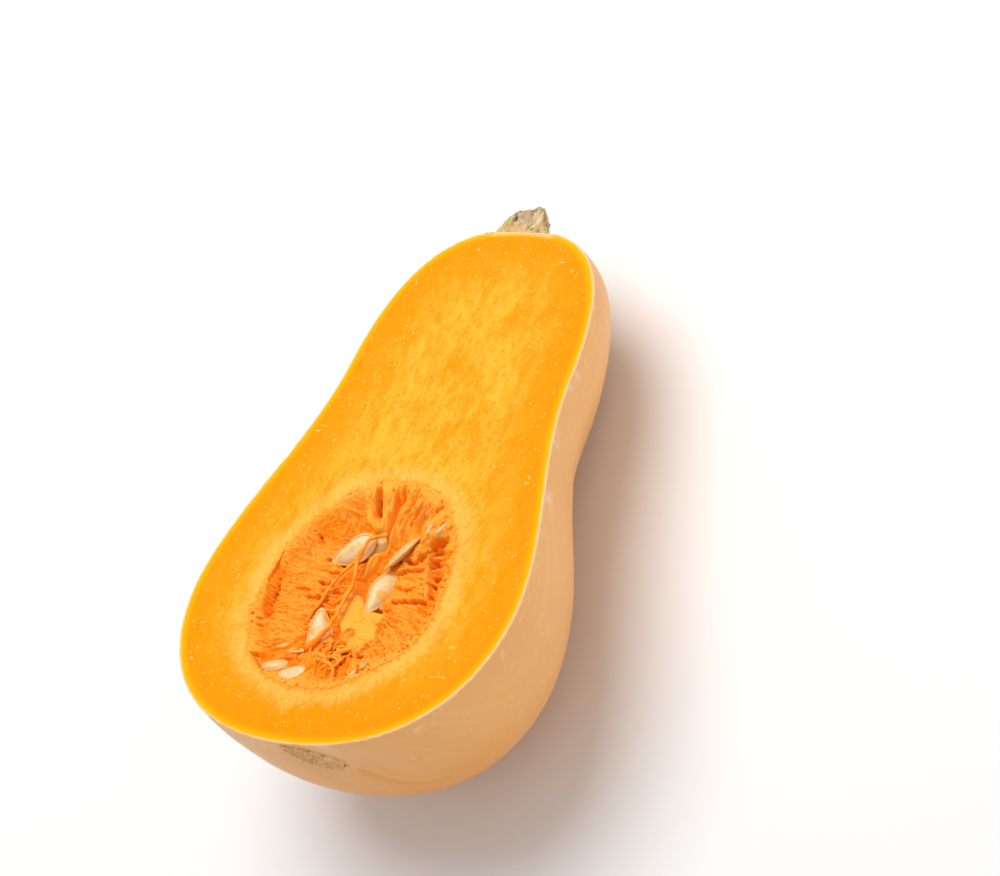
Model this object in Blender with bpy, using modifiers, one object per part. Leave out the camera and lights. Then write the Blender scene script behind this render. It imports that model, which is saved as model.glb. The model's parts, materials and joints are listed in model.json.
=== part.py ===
"""Half of a butternut squash, cut lengthwise and lying on its rounded back with the cut face up.

Every piece is modelled in the squash's own frame: Y runs along the fruit from the blossom end to the
stem end, X runs across it, and the knife cut is the plane Z = 0, with the fruit below it. An empty
then tilts the whole half until its bulb and its neck both rest on the ground, at world Z = 0.
"""
import math

import bmesh
import bpy
from mathutils import Matrix, Vector

# Whole fruit, before the cut
LENGTH = 0.1778
BULB_RADIUS = 0.0583
NECK_RADIUS = 0.0410
WAIST_Y = 0.0880
WAIST_HALF_LENGTH = 0.0397
BLOSSOM_CAP = 0.0512
BLOSSOM_POWER = 2.26
STEM_CAP = 0.0631
STEM_POWER = 2.67
PROFILE_STEPS = 26
TURN_STEPS = 56

# The cut runs above the core, and the half rests on two small flats
CUT_OFFSET = 0.0065
FLAT_DEPTH = 0.0004
GAP = 0.0003

# Stem stub
STEM_SEAT_DROP = 0.0008
STEM_BASE_RADIUS = 0.0115
STEM_TOP_RADIUS = 0.0080
STEM_HEIGHT = 0.0095
STEM_FLARE = 0.0020

# Seed hollow, an egg on the fruit's core, and the pulp that fills it
HOLLOW_X = -0.0012
HOLLOW_Y = 0.0475
HOLLOW_RADIUS = 0.0324
HOLLOW_TO_STEM = 0.0400
HOLLOW_TO_BLOSSOM = 0.0294
HOLLOW_POWER = 2.2
DISH_Y = 0.0525
DISH_DEPTH = 0.0090
DISH_LIFT = 0.0277
DISH_HALF_X = 0.0600
DISH_HALF_Y = 0.0660

# Seeds
SEED_LENGTH = 0.0155
SEED_WIDTH = 0.0088
SEED_THICKNESS = 0.0027
SEED_TAPER = 0.50
SOCKET_MARGIN = 0.0004

# Each seed: x, y and z of its middle in millimetres, then heading of the tip, pitch and roll in degrees
SEEDS = [
    (-10.1, 66.4, -4.7, 210, 6, -28),
    (-5.3, 70.6, -7.8, 214, 4, -26),
    (7.4, 66.8, -4.9, 236, -6, 38),
    (5.4, 53.4, -6.9, 261, -6, -28),
    (-12.2, 40.8, -5.6, 104, -8, 24),
    (-21.5, 34.2, -6.0, 182, 0, 40),
    (-16.9, 27.4, -4.9, 184, -6, 34),
    (-7.2, 24.8, -1.2, 195, 0, -6),
    (14.7, 75.4, -2.2, -28, 80, 0),
    (17.8, 73.6, -2.6, -28, 76, 0),
    (10.1, 26.4, 2.2, -31, 82, 0),
    (14.2, 28.4, 4.6, -31, 82, 0),
]


def remove_everything():
    for old in list(bpy.data.objects):
        bpy.data.objects.remove(old, do_unlink=True)


def make_collection(name):
    collection = bpy.data.collections.new(name)
    bpy.context.scene.collection.children.link(collection)
    return collection


def make_material(name, color, roughness):
    material = bpy.data.materials.new(name)
    material.use_nodes = True
    shader = material.node_tree.nodes["Principled BSDF"]
    shader.inputs["Base Color"].default_value = (*color, 1.0)
    shader.inputs["Roughness"].default_value = roughness
    shader.inputs["Metallic"].default_value = 0.0
    return material


def mesh_object(name, bm, collection, material, parent):
    mesh = bpy.data.meshes.new(name)
    bm.to_mesh(mesh)
    bm.free()
    mesh.materials.append(material)
    for face in mesh.polygons:
        face.use_smooth = True
    placed = bpy.data.objects.new(name, mesh)
    collection.objects.link(placed)
    placed.parent = parent
    return placed


def make_cutter(cutter):
    cutter.hide_render = True
    cutter.display_type = "WIRE"
    return cutter


def rounded_end(distance, reach, power):
    """1 along the body, falling to 0 at the tip of a rounded end that is reach long."""
    towards_tip = min(max(1 - distance / reach, 0.0), 1.0)
    return (1 - towards_tip ** power) ** (1 / power)


def half_width(y):
    """Half the width of the cut face at y: bulb and neck with a smooth waist between two round ends."""
    along = min(max((WAIST_Y + WAIST_HALF_LENGTH - y) / (2 * WAIST_HALF_LENGTH), 0.0), 1.0)
    bulb_share = along * along * (3 - 2 * along)
    body = NECK_RADIUS + (BULB_RADIUS - NECK_RADIUS) * bulb_share
    blossom_end = rounded_end(y, BLOSSOM_CAP, BLOSSOM_POWER)
    stem_end = rounded_end(LENGTH - y, STEM_CAP, STEM_POWER)
    return body * blossom_end * stem_end


def fruit_radius(y):
    """Radius of the whole fruit about its core, which lies CUT_OFFSET below the cut."""
    return math.hypot(half_width(y), CUT_OFFSET)


def profile_stations():
    """Places along the core, closer together towards both rounded ends."""
    last = LENGTH - STEM_SEAT_DROP
    return [last * (1 - math.cos(math.pi * i / PROFILE_STEPS)) / 2 for i in range(PROFILE_STEPS + 1)]


def rest_tilt():
    """Angle that brings the lowest points of the bulb and of the neck to one level, by halving."""
    stations = [LENGTH * i / 600 for i in range(601)]
    depths = [(y, -CUT_OFFSET - fruit_radius(y)) for y in stations]

    def levels(angle):
        heights = [(y, z * math.cos(angle) - y * math.sin(angle)) for y, z in depths]
        bulb_level = min(level for y, level in heights if y < WAIST_Y)
        neck_level = min(level for y, level in heights if y >= WAIST_Y)
        return bulb_level, neck_level

    low, high = 0.0, math.radians(25)
    for _ in range(40):
        middle = (low + high) / 2
        bulb_level, neck_level = levels(middle)
        if neck_level > bulb_level:
            low = middle
        else:
            high = middle
    return middle, min(levels(middle))


def turned(name, profile, collection, material, parent, start_y):
    """Turn (radius, height) points about Y. The profile runs from the stem side to the blossom side."""
    bm = bmesh.new()
    points = [bm.verts.new((radius, 0.0, height)) for radius, height in profile]
    for first, second in zip(points, points[1:]):
        bm.edges.new((first, second))
    placed = mesh_object(name, bm, collection, material, parent)
    placed.rotation_euler = (math.radians(-90), 0.0, 0.0)
    placed.location = (0.0, start_y, -CUT_OFFSET)
    turn = placed.modifiers.new("Turn", "SCREW")
    turn.axis = "Z"
    turn.steps = TURN_STEPS
    turn.render_steps = TURN_STEPS
    turn.use_merge_vertices = True
    turn.merge_threshold = 0.00001
    return placed


def box_cutter(name, corner, opposite, collection, material, parent):
    low = Vector(corner)
    high = Vector(opposite)
    bm = bmesh.new()
    bmesh.ops.create_cube(bm, size=1.0)
    bmesh.ops.scale(bm, vec=high - low, verts=bm.verts)
    bmesh.ops.translate(bm, vec=(low + high) / 2, verts=bm.verts)
    return make_cutter(mesh_object(name, bm, collection, material, parent))


def hollow_shape(shrink):
    """The egg of the seed hollow, made smaller all over by shrink."""
    bm = bmesh.new()
    bmesh.ops.create_uvsphere(bm, u_segments=36, v_segments=20, radius=1.0)
    bmesh.ops.rotate(bm, matrix=Matrix.Rotation(math.radians(-90), 3, "X"), verts=bm.verts)
    for vert in bm.verts:
        swell = sum(abs(part) ** HOLLOW_POWER for part in vert.co) ** (-1 / HOLLOW_POWER)
        reach = HOLLOW_TO_STEM if vert.co.y > 0 else HOLLOW_TO_BLOSSOM
        vert.co.x *= swell * (HOLLOW_RADIUS - shrink)
        vert.co.y *= swell * (reach - shrink)
        vert.co.z *= swell * (HOLLOW_RADIUS - shrink)
    bmesh.ops.translate(bm, vec=(HOLLOW_X, HOLLOW_Y, -CUT_OFFSET), verts=bm.verts)
    return bm


def dish_shape():
    """The bowl that the pulp has sunk to, a wide egg that dips DISH_DEPTH below the cut."""
    bm = bmesh.new()
    bmesh.ops.create_uvsphere(bm, u_segments=40, v_segments=22, radius=1.0)
    bmesh.ops.scale(bm, vec=(DISH_HALF_X, DISH_HALF_Y, DISH_LIFT + DISH_DEPTH), verts=bm.verts)
    bmesh.ops.translate(bm, vec=(HOLLOW_X, DISH_Y, DISH_LIFT), verts=bm.verts)
    return bm


def seed_shape(margin):
    """A flat drop, its tip towards +X, made larger all over by margin."""
    bm = bmesh.new()
    bmesh.ops.create_uvsphere(bm, u_segments=12, v_segments=8, radius=1.0)
    bmesh.ops.rotate(bm, matrix=Matrix.Rotation(math.radians(90), 3, "Y"), verts=bm.verts)
    for vert in bm.verts:
        towards_tip = (vert.co.x + 1) / 2
        narrow = 1 - SEED_TAPER * towards_tip ** 1.6
        vert.co.x *= SEED_LENGTH / 2 + margin
        vert.co.y *= (SEED_WIDTH / 2) * narrow + margin
        vert.co.z *= SEED_THICKNESS / 2 + margin
    return bm


def place_seed(placed, seed):
    x, y, z, heading, pitch, roll = seed
    placed.location = Vector((x, y, z)) / 1000
    placed.rotation_euler = (math.radians(roll), math.radians(pitch), math.radians(heading))


def cut_away(placed, name, cutter):
    cut = placed.modifiers.new(name, "BOOLEAN")
    cut.operation = "DIFFERENCE"
    cut.solver = "EXACT"
    cut.material_mode = "TRANSFER"
    if isinstance(cutter, bpy.types.Collection):
        cut.operand_type = "COLLECTION"
        cut.collection = cutter
    else:
        cut.object = cutter


def centre_on_ground(placed_parts, holder):
    """Slide the tilted half along the ground until its bounding box is centred on the origin."""
    bpy.context.view_layer.update()
    graph = bpy.context.evaluated_depsgraph_get()
    corners = []
    for placed in placed_parts:
        evaluated = placed.evaluated_get(graph)
        mesh = evaluated.to_mesh()
        corners += [evaluated.matrix_world @ vert.co for vert in mesh.vertices]
        evaluated.to_mesh_clear()
    for axis in (0, 1):
        values = [corner[axis] for corner in corners]
        holder.location[axis] -= (min(values) + max(values)) / 2


def main():
    remove_everything()
    parts = make_collection("butternut_squash_half")
    cutters = make_collection("cutters")
    sockets = make_collection("seed_sockets")

    rind = make_material("rind", (0.80, 0.50, 0.24), 0.45)
    flesh = make_material("flesh", (0.98, 0.42, 0.02), 0.40)
    stringy = make_material("pulp", (0.92, 0.26, 0.03), 0.45)
    seed_coat = make_material("seed_coat", (0.86, 0.72, 0.46), 0.45)
    cork = make_material("stem_cork", (0.52, 0.42, 0.24), 0.85)

    tilt, lowest = rest_tilt()
    holder = bpy.data.objects.new("rest_attitude", None)
    parts.objects.link(holder)
    holder.rotation_euler = (-tilt, 0.0, 0.0)
    holder.location = (0.0, 0.0, -lowest - FLAT_DEPTH)

    above_cut = box_cutter(
        "above_cut", (-0.1, -0.05, 0.0), (0.1, 0.25, 0.1), cutters, flesh, holder)
    ground = box_cutter(
        "ground", (-0.1, -0.2, -0.1), (0.1, 0.4, 0.0), cutters, rind, None)

    # Flesh and rind, one piece as grown
    stations = profile_stations()
    outline = [(fruit_radius(y), y) for y in reversed(stations)]
    closed_outline = [(0.0, stations[-1])] + outline + [(0.0, 0.0)]
    squash_half = turned("squash_half", closed_outline, parts, rind, holder, 0.0)
    hollow = make_cutter(mesh_object("seed_hollow", hollow_shape(0.0), cutters, flesh, holder))
    cut_away(squash_half, "Knife cut", above_cut)
    cut_away(squash_half, "Seed hollow", hollow)
    cut_away(squash_half, "Resting flats", ground)

    # Stem stub, split by the same cut
    flare_radius = STEM_TOP_RADIUS + (STEM_BASE_RADIUS - STEM_TOP_RADIUS) / 2
    stem_outline = [
        (0.0, STEM_HEIGHT),
        (STEM_TOP_RADIUS, STEM_HEIGHT),
        (STEM_TOP_RADIUS + STEM_FLARE / 4, STEM_HEIGHT / 2),
        (flare_radius, STEM_FLARE),
        (STEM_BASE_RADIUS, 0.0),
        (0.0, 0.0),
    ]
    stem = turned("stem", stem_outline, parts, cork, holder, stations[-1] + GAP)
    cut_away(stem, "Knife cut", above_cut)

    # Pulp, dished below the cut, with a socket for each seed
    pulp = mesh_object("pulp", hollow_shape(GAP), parts, stringy, holder)
    dish = make_cutter(mesh_object("pulp_dish", dish_shape(), cutters, stringy, holder))
    cut_away(pulp, "Dish", dish)
    seeds = []
    for number, seed in enumerate(SEEDS, start=1):
        placed = mesh_object(f"seed_{number:02d}", seed_shape(0.0), parts, seed_coat, holder)
        place_seed(placed, seed)
        cut_away(placed, "Knife cut", above_cut)
        seeds.append(placed)
        socket = mesh_object(
            f"seed_socket_{number:02d}", seed_shape(SOCKET_MARGIN), sockets, stringy, holder)
        place_seed(make_cutter(socket), seed)
    cut_away(pulp, "Seed sockets", sockets)

    centre_on_ground([squash_half, stem, pulp] + seeds, holder)


main()
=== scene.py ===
import json
import math
import random

import bmesh
import bpy
import numpy as np
from mathutils import Euler, Matrix, Vector, kdtree, noise


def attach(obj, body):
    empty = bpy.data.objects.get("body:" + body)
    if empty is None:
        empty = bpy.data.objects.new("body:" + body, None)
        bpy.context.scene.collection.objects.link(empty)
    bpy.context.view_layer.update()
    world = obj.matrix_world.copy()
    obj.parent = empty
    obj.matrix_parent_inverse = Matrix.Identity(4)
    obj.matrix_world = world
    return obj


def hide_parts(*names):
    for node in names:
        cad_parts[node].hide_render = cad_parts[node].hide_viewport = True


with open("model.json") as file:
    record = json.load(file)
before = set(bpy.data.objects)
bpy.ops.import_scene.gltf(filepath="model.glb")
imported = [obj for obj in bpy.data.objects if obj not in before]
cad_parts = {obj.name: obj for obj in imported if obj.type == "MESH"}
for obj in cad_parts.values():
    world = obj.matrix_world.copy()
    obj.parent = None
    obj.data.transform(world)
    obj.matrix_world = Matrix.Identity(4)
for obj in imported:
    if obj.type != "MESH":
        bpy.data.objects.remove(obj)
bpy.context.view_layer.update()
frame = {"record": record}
print("frame loaded")

# Shapes are made in millimetres in the squash's own frame: x across, y from the blossom end to the
# stem, z up out of the knife cut. toRow then carries them into the frame.
fruit = {
    "length": 177.8,
    "bulbHalf": 58.3,
    "neckHalf": 41.0,
    "waistY": 88.0,
    "waistHalf": 39.7,
    "blossomCap": 51.2,
    "blossomPower": 2.26,
    "stemCap": 63.1,
    "stemPower": 2.67,
    "cutOffset": 6.5,      # the core lies this far under the cut
    "seatDrop": 0.8,       # flat that the stem sits on
    "markY": 130.0,        # the record's cut_face mark, measured from the blossom end
}

cutMark = next(m for m in frame["record"]["mounts"] if m["name"] == "cut_face")
cutNormal = Vector(cutMark["axis"])
tilt = math.atan2(cutNormal.y, cutNormal.z)
toRow = (
    Matrix.Translation(Vector(cutMark["pos_m"]))
    @ Matrix.Rotation(-tilt, 4, "X")
    @ Matrix.Scale(0.001, 4)
    @ Matrix.Translation((0.0, -fruit["markY"], 0.0))
)


# Small helpers

def smoothStep(low, high, value):
    t = min(max((value - low) / (high - low), 0.0), 1.0)
    return t * t * (3 - 2 * t)


def hill(x, y, centreX, centreY, radiusX, radiusY, turn=0.0):
    dx, dy = x - centreX, y - centreY
    c, s = math.cos(math.radians(turn)), math.sin(math.radians(turn))
    px, py = (dx * c + dy * s) / radiusX, (dy * c - dx * s) / radiusY
    return math.exp(-(px * px + py * py))


def wobble(x, y, z, size):
    return noise.noise(Vector((x, y, z)) / size)


def addObject(name, data):
    made = bpy.data.objects.new(name, data)
    bpy.context.scene.collection.objects.link(made)
    return made


def piece(name, bm, materials, replaced=(), sharpAngle=40.0):
    bmesh.ops.transform(bm, matrix=toRow, verts=bm.verts)
    mesh = bpy.data.meshes.new(name)
    bm.to_mesh(mesh)
    bm.free()
    for material in materials:
        mesh.materials.append(material)
    mesh.shade_smooth()
    if sharpAngle:
        mesh.set_sharp_from_angle(angle=math.radians(sharpAngle))
    made = addObject(name, mesh)
    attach(made, "root")
    if replaced:
        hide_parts(*replaced)
    return made


# Node helpers. bench holds the node tree that is being built

bench = {"tree": None}


def newMaterial(name, roughness, subsurface=0.0, radius=(1.0, 0.35, 0.1), scale=0.002,
                coat=0.0, specular=0.5):
    material = bpy.data.materials.new(name)
    material.use_nodes = True
    tree = material.node_tree
    shader = tree.nodes["Principled BSDF"]
    shader.inputs["Roughness"].default_value = roughness
    shader.inputs["Subsurface Weight"].default_value = subsurface
    shader.inputs["Subsurface Radius"].default_value = radius
    shader.inputs["Subsurface Scale"].default_value = scale
    shader.inputs["Coat Weight"].default_value = coat
    shader.inputs["Coat Roughness"].default_value = 0.25
    shader.inputs["Specular IOR Level"].default_value = specular
    bench["tree"] = tree
    return material, shader


def node(kind, **values):
    made = bench["tree"].nodes.new(kind)
    for key, value in values.items():
        setattr(made, key, value)
    return made


def join(source, target):
    bench["tree"].links.new(source, target)


def attribute(name):
    return node("ShaderNodeAttribute", attribute_name=name).outputs["Fac"]


def rangeOf(source, low, high, toLow=0.0, toHigh=1.0):
    made = node("ShaderNodeMapRange", interpolation_type="SMOOTHSTEP")
    join(source, made.inputs["Value"])
    for name, value in (("From Min", low), ("From Max", high), ("To Min", toLow), ("To Max", toHigh)):
        made.inputs[name].default_value = value
    return made.outputs["Result"]


def maths(operation, first, second=None):
    made = node("ShaderNodeMath", operation=operation)
    for place, value in enumerate((first, second)):
        if value is None:
            continue
        if isinstance(value, (int, float)):
            made.inputs[place].default_value = value
        else:
            join(value, made.inputs[place])
    return made.outputs["Value"]


def times(first, second):
    return maths("MULTIPLY", first, second)


def plus(first, second):
    return maths("ADD", first, second)


def swing(source, reach):
    # A noise centred on zero, so that it shifts an edge both ways
    return times(maths("SUBTRACT", source, 0.5), reach)


def mixColor(factor, first, second):
    made = node("ShaderNodeMix", data_type="RGBA")
    for socket, value in ((made.inputs[0], factor), (made.inputs[6], first), (made.inputs[7], second)):
        if isinstance(value, bpy.types.NodeSocket):
            join(value, socket)
        elif isinstance(value, (int, float)):
            socket.default_value = value
        else:
            socket.default_value = (*value, 1.0)
    return made.outputs[2]


def grain(vector, scale, detail=3.0, roughness=0.55, distortion=0.0):
    made = node("ShaderNodeTexNoise")
    made.inputs["Scale"].default_value = scale
    made.inputs["Detail"].default_value = detail
    made.inputs["Roughness"].default_value = roughness
    made.inputs["Distortion"].default_value = distortion
    join(vector, made.inputs["Vector"])
    return made.outputs["Fac"]


def stretched(vector, scale, turn=(0.0, 0.0, 0.0)):
    made = node("ShaderNodeMapping")
    made.inputs["Scale"].default_value = scale
    made.inputs["Rotation"].default_value = turn
    join(vector, made.inputs["Vector"])
    return made.outputs["Vector"]


def fruitVector():
    # Object coordinates turned back level with the knife cut, so that patterns run along the fruit
    place = node("ShaderNodeTexCoord").outputs["Object"]
    return stretched(place, (1.0, 1.0, 1.0), (tilt, 0.0, 0.0))


def bump(height, strength, distance):
    made = node("ShaderNodeBump")
    made.inputs["Strength"].default_value = strength
    made.inputs["Distance"].default_value = distance
    join(height, made.inputs["Height"])
    return made.outputs["Normal"]


def groupTree(name, inputs, outputs):
    tree = bpy.data.node_groups.new(name, "ShaderNodeTree")
    bench["tree"] = tree
    for socketName, kind, value in inputs:
        socket = tree.interface.new_socket(name=socketName, in_out="INPUT", socket_type=kind)
        if value is not None:
            socket.default_value = value
    for socketName, kind in outputs:
        tree.interface.new_socket(name=socketName, in_out="OUTPUT", socket_type=kind)
    return tree, node("NodeGroupInput").outputs, node("NodeGroupOutput").inputs


def useGroup(group, **values):
    made = node("ShaderNodeGroup", node_tree=group)
    for name, value in values.items():
        if isinstance(value, bpy.types.NodeSocket):
            join(value, made.inputs[name])
        else:
            made.inputs[name].default_value = value
    return made.outputs


def makeGlintGroup():
    # Scattered short bright marks: painted highlights on the beads of juice that cut cells have wept
    tree, given, out = groupTree(
        "juiceGlints",
        [("Vector", "NodeSocketVector", None), ("Scale", "NodeSocketFloat", 300.0),
         ("Size", "NodeSocketFloat", 0.2), ("Share", "NodeSocketFloat", 0.4)],
        [("Mask", "NodeSocketFloat")])
    bent = node("ShaderNodeTexNoise")
    bent.inputs["Scale"].default_value = 90.0
    join(given["Vector"], bent.inputs["Vector"])
    push = node("ShaderNodeVectorMath", operation="SCALE")
    push.inputs["Scale"].default_value = 0.012
    join(bent.outputs["Color"], push.inputs[0])
    moved = node("ShaderNodeVectorMath", operation="ADD")
    join(given["Vector"], moved.inputs[0])
    join(push.outputs["Vector"], moved.inputs[1])
    cells = node("ShaderNodeTexVoronoi", feature="F1")
    join(moved.outputs["Vector"], cells.inputs["Vector"])
    join(given["Scale"], cells.inputs["Scale"])
    close = maths("LESS_THAN", cells.outputs["Distance"], given["Size"])
    chosen = node("ShaderNodeSeparateColor")
    join(cells.outputs["Color"], chosen.inputs["Color"])
    picked = maths("LESS_THAN", chosen.outputs["Red"], given["Share"])
    join(times(close, picked), out["Mask"])
    return tree


def makeFleckGroup():
    # Soft blotches with a fine grain over them, for skin, cork and seed coats
    tree, given, out = groupTree(
        "softFlecks",
        [("Vector", "NodeSocketVector", None), ("Coarse", "NodeSocketFloat", 60.0),
         ("Fine", "NodeSocketFloat", 700.0)],
        [("Blotch", "NodeSocketFloat"), ("Grain", "NodeSocketFloat")])
    blotch = node("ShaderNodeTexNoise")
    blotch.inputs["Detail"].default_value = 4.0
    fine = node("ShaderNodeTexNoise")
    fine.inputs["Detail"].default_value = 3.0
    for made, scale in ((blotch, "Coarse"), (fine, "Fine")):
        join(given["Vector"], made.inputs["Vector"])
        join(given[scale], made.inputs["Scale"])
    join(blotch.outputs["Fac"], out["Blotch"])
    join(fine.outputs["Fac"], out["Grain"])
    return tree


glintGroup = makeGlintGroup()
fleckGroup = makeFleckGroup()

fleshLook = {
    "deep": (1.0, 0.288, 0.0),
    "pale": (1.0, 0.485, 0.046),
    "fleck": (1.0, 0.43, 0.006),
    "rim": (1.0, 0.45, 0.0),
    "rindLine": (1.0, 0.58, 0.24),
    "green": (0.62, 0.52, 0.08),
    "halo": (1.0, 0.50, 0.10),
    "hollowEdge": (1.0, 0.27, 0.012),
    "glint": (1.0, 0.66, 0.20),
}


def makeFlesh():
    look = fleshLook
    material, shader = newMaterial("cutFlesh", 0.42, 0.25, (1.0, 0.40, 0.08), 0.0015, specular=0.03)
    place = fruitVector()
    rim = attribute("rimDistance")
    hollow = attribute("hollowDistance")
    # Pale clouds in the middle of the neck, broken up by a grain of about half a millimetre
    clouds = grain(stretched(place, (1.0, 0.6, 1.0), (0, 0, math.radians(12))), 110.0, 7.0, 0.75, 0.5)
    streaks = grain(stretched(place, (1.0, 0.36, 1.0), (0, 0, math.radians(-14))), 380.0, 5.0, 0.75, 1.0)
    mottle = grain(place, 1000.0, 4.0, 0.75)
    blend = plus(times(clouds, 0.42), times(streaks, 0.42))
    blend = plus(blend, times(mottle, 0.16))
    inner = rangeOf(rim, 4.0, 26.0, 0.12, 1.0)
    inner = times(inner, rangeOf(attribute("along"), 6.0, 40.0, 0.25, 1.0))
    paleShare = times(inner, rangeOf(blend, 0.40, 0.60, 0.06, 1.0))
    base = mixColor(paleShare, look["deep"], look["pale"])
    flecked = times(rangeOf(mottle, 0.53, 0.70, 0.0, 0.75), rangeOf(rim, 3.0, 16.0, 0.35, 1.0))
    base = mixColor(flecked, base, look["fleck"])
    base = mixColor(rangeOf(mottle, 0.30, 0.47, 0.70, 0.0), base, look["deep"])
    ragged = plus(rim, swing(mottle, 1.2))
    base = mixColor(rangeOf(ragged, 0.9, 3.4, 0.85, 0.0), base, look["rim"])
    frayed = plus(rim, swing(streaks, 1.1))
    base = mixColor(rangeOf(frayed, 0.15, 1.0, 0.95, 0.0), base, look["rindLine"])
    lip = attribute("stemLip")
    base = mixColor(times(lip, rangeOf(frayed, 1.0, 2.4, 0.9, 0.0)), base, look["rindLine"])
    greenLip = times(attribute("greenLip"), rangeOf(frayed, 0.2, 1.6, 0.9, 0.0))
    base = mixColor(greenLip, base, look["green"])
    # Around the hollow the flesh turns pale and fibrous
    radial = node("ShaderNodeCombineXYZ")
    turned = attribute("hollowTurn")
    join(times(maths("COSINE", turned), 30.0), radial.inputs["X"])
    join(times(maths("SINE", turned), 30.0), radial.inputs["Y"])
    join(times(hollow, 0.22), radial.inputs["Z"])
    fibres = grain(radial.outputs["Vector"], 0.95, 4.0, 0.65, 0.4)
    broad = grain(place, 120.0, 3.0, 0.6)
    shift = plus(swing(fibres, 7.0),
                  swing(broad, 9.0))
    haloDistance = plus(hollow, shift)
    haloGrain = (rangeOf(haloDistance, 3.0, 8.4, 0.9, 0.0), rangeOf(streaks, 0.30, 0.62, 0.55, 1.0),
                 rangeOf(mottle, 0.36, 0.60, 0.55, 1.0))
    haloShare = times(haloGrain[0], times(haloGrain[1], haloGrain[2]))
    base = mixColor(haloShare, base, look["halo"])
    nearEdge = plus(hollow, swing(fibres, 8.0))
    base = mixColor(rangeOf(nearEdge, 0.2, 2.0, 0.80, 0.0), base, look["hollowEdge"])
    glints = useGroup(glintGroup, Vector=stretched(place, (1.0, 0.45, 1.0), (0, 0, 0.5)),
                      Scale=700.0, Size=0.15, Share=0.58)
    curls = useGroup(glintGroup, Vector=stretched(place, (0.5, 1.0, 1.0), (0, 0, 0.3)),
                     Scale=640.0, Size=0.14, Share=0.52)
    band = times(rangeOf(rim, 1.6, 4.0), rangeOf(rim, 12.0, 30.0, 1.0, 0.35))
    band = times(band, rangeOf(hollow, 3.0, 9.0, 0.3, 1.0))
    glintMask = times(maths("MAXIMUM", glints["Mask"], curls["Mask"]), band)
    # Painted highlights: the glint marks lighten the flesh colour, besides lowering its roughness and
    # raising a bump
    base = mixColor(times(glintMask, 0.6), base, look["glint"])
    join(base, shader.inputs["Base Color"])
    rough = rangeOf(mottle, 0.3, 0.7, 0.38, 0.55)
    rough = maths("SUBTRACT", rough, times(glintMask, 0.25))
    join(rough, shader.inputs["Roughness"])
    height = plus(times(mottle, 0.6), times(streaks, 0.7))
    height = plus(height, times(glintMask, 0.8))
    join(bump(height, 0.45, 0.0005), shader.inputs["Normal"])
    return material


rindLook = {
    "base": (0.925, 0.450, 0.130),
    "pale": (0.98, 0.555, 0.205),
    "dark": (0.82, 0.370, 0.095),
    # low and belly are darker colours for the underside: painted shade
    "low": (0.88, 0.385, 0.085),
    "belly": (0.86, 0.345, 0.050),
    "scuff": (0.95, 0.66, 0.42),
    "green": (0.42, 0.46, 0.12),
}


def makeRind():
    look = rindLook
    material, shader = newMaterial("rind", 0.42, 0.12, (1.0, 0.5, 0.2), 0.0015, 0.08)
    around = attribute("around")
    along = attribute("along")
    flat = node("ShaderNodeCombineXYZ")
    join(around, flat.inputs["X"])
    join(along, flat.inputs["Y"])
    skin = flat.outputs["Vector"]
    place = fruitVector()
    rim = attribute("rimDistance")
    lengthwise = grain(stretched(skin, (0.35, 0.03, 1.0)), 1.0, 4.0, 0.5, 0.3)
    broad = grain(place, 22.0, 3.0, 0.5)
    flecks = useGroup(fleckGroup, Vector=place, Coarse=260.0, Fine=1500.0)
    base = mixColor(rangeOf(lengthwise, 0.40, 0.68, 0.0, 0.26), look["base"], look["pale"])
    # Painted shade: the back turns darker far from the cut's edge, where it rounds under towards the floor,
    # and most on the bulb near the blossom end
    base = mixColor(rangeOf(rim, 30.0, 76.0, 0.0, 0.45), base, look["low"])
    belly = times(rangeOf(rim, 13.0, 36.0), rangeOf(along, 5.0, 44.0, 0.95, 0.0))
    base = mixColor(belly, base, look["belly"])
    base = mixColor(rangeOf(broad, 0.42, 0.70, 0.0, 0.45), base, look["dark"])
    base = mixColor(rangeOf(flecks["Blotch"], 0.60, 0.72, 0.0, 0.35), base, look["pale"])
    base = mixColor(rangeOf(flecks["Blotch"], 0.30, 0.40, 0.30, 0.0), base, look["dark"])
    scuffNoise = grain(place, 130.0, 5.0, 0.7)
    edgeBand = rangeOf(rim, 0.6, 7.0, 1.0, 0.0)
    scuffShare = times(edgeBand, rangeOf(scuffNoise, 0.52, 0.66, 0.0, 0.75))
    base = mixColor(scuffShare, base, look["scuff"])
    base = mixColor(rangeOf(rim, 0.0, 0.9, 0.8, 0.0), base, look["scuff"])
    greenShare = times(attribute("shoulder"), rangeOf(scuffNoise, 0.40, 0.65, 0.10, 0.7))
    base = mixColor(greenShare, base, look["green"])
    join(base, shader.inputs["Base Color"])
    rough = rangeOf(flecks["Blotch"], 0.3, 0.7, 0.36, 0.50)
    join(rough, shader.inputs["Roughness"])
    height = plus(times(lengthwise, 0.25), times(flecks["Grain"], 0.25))
    height = plus(height, times(flecks["Blotch"], 0.5))
    join(bump(height, 0.25, 0.0004), shader.inputs["Normal"])
    return material


pulpLook = {
    # Painted shade: low values of the ridge attribute pick hole and deep, the colours of shade in carved
    # dips and valleys; crest is for the tops
    "hole": (0.36, 0.040, 0.001),
    "deep": (0.95, 0.195, 0.000),
    "base": (1.0, 0.270, 0.002),
    "crest": (1.0, 0.365, 0.034),
    "pale": (1.0, 0.445, 0.050),
}


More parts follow.
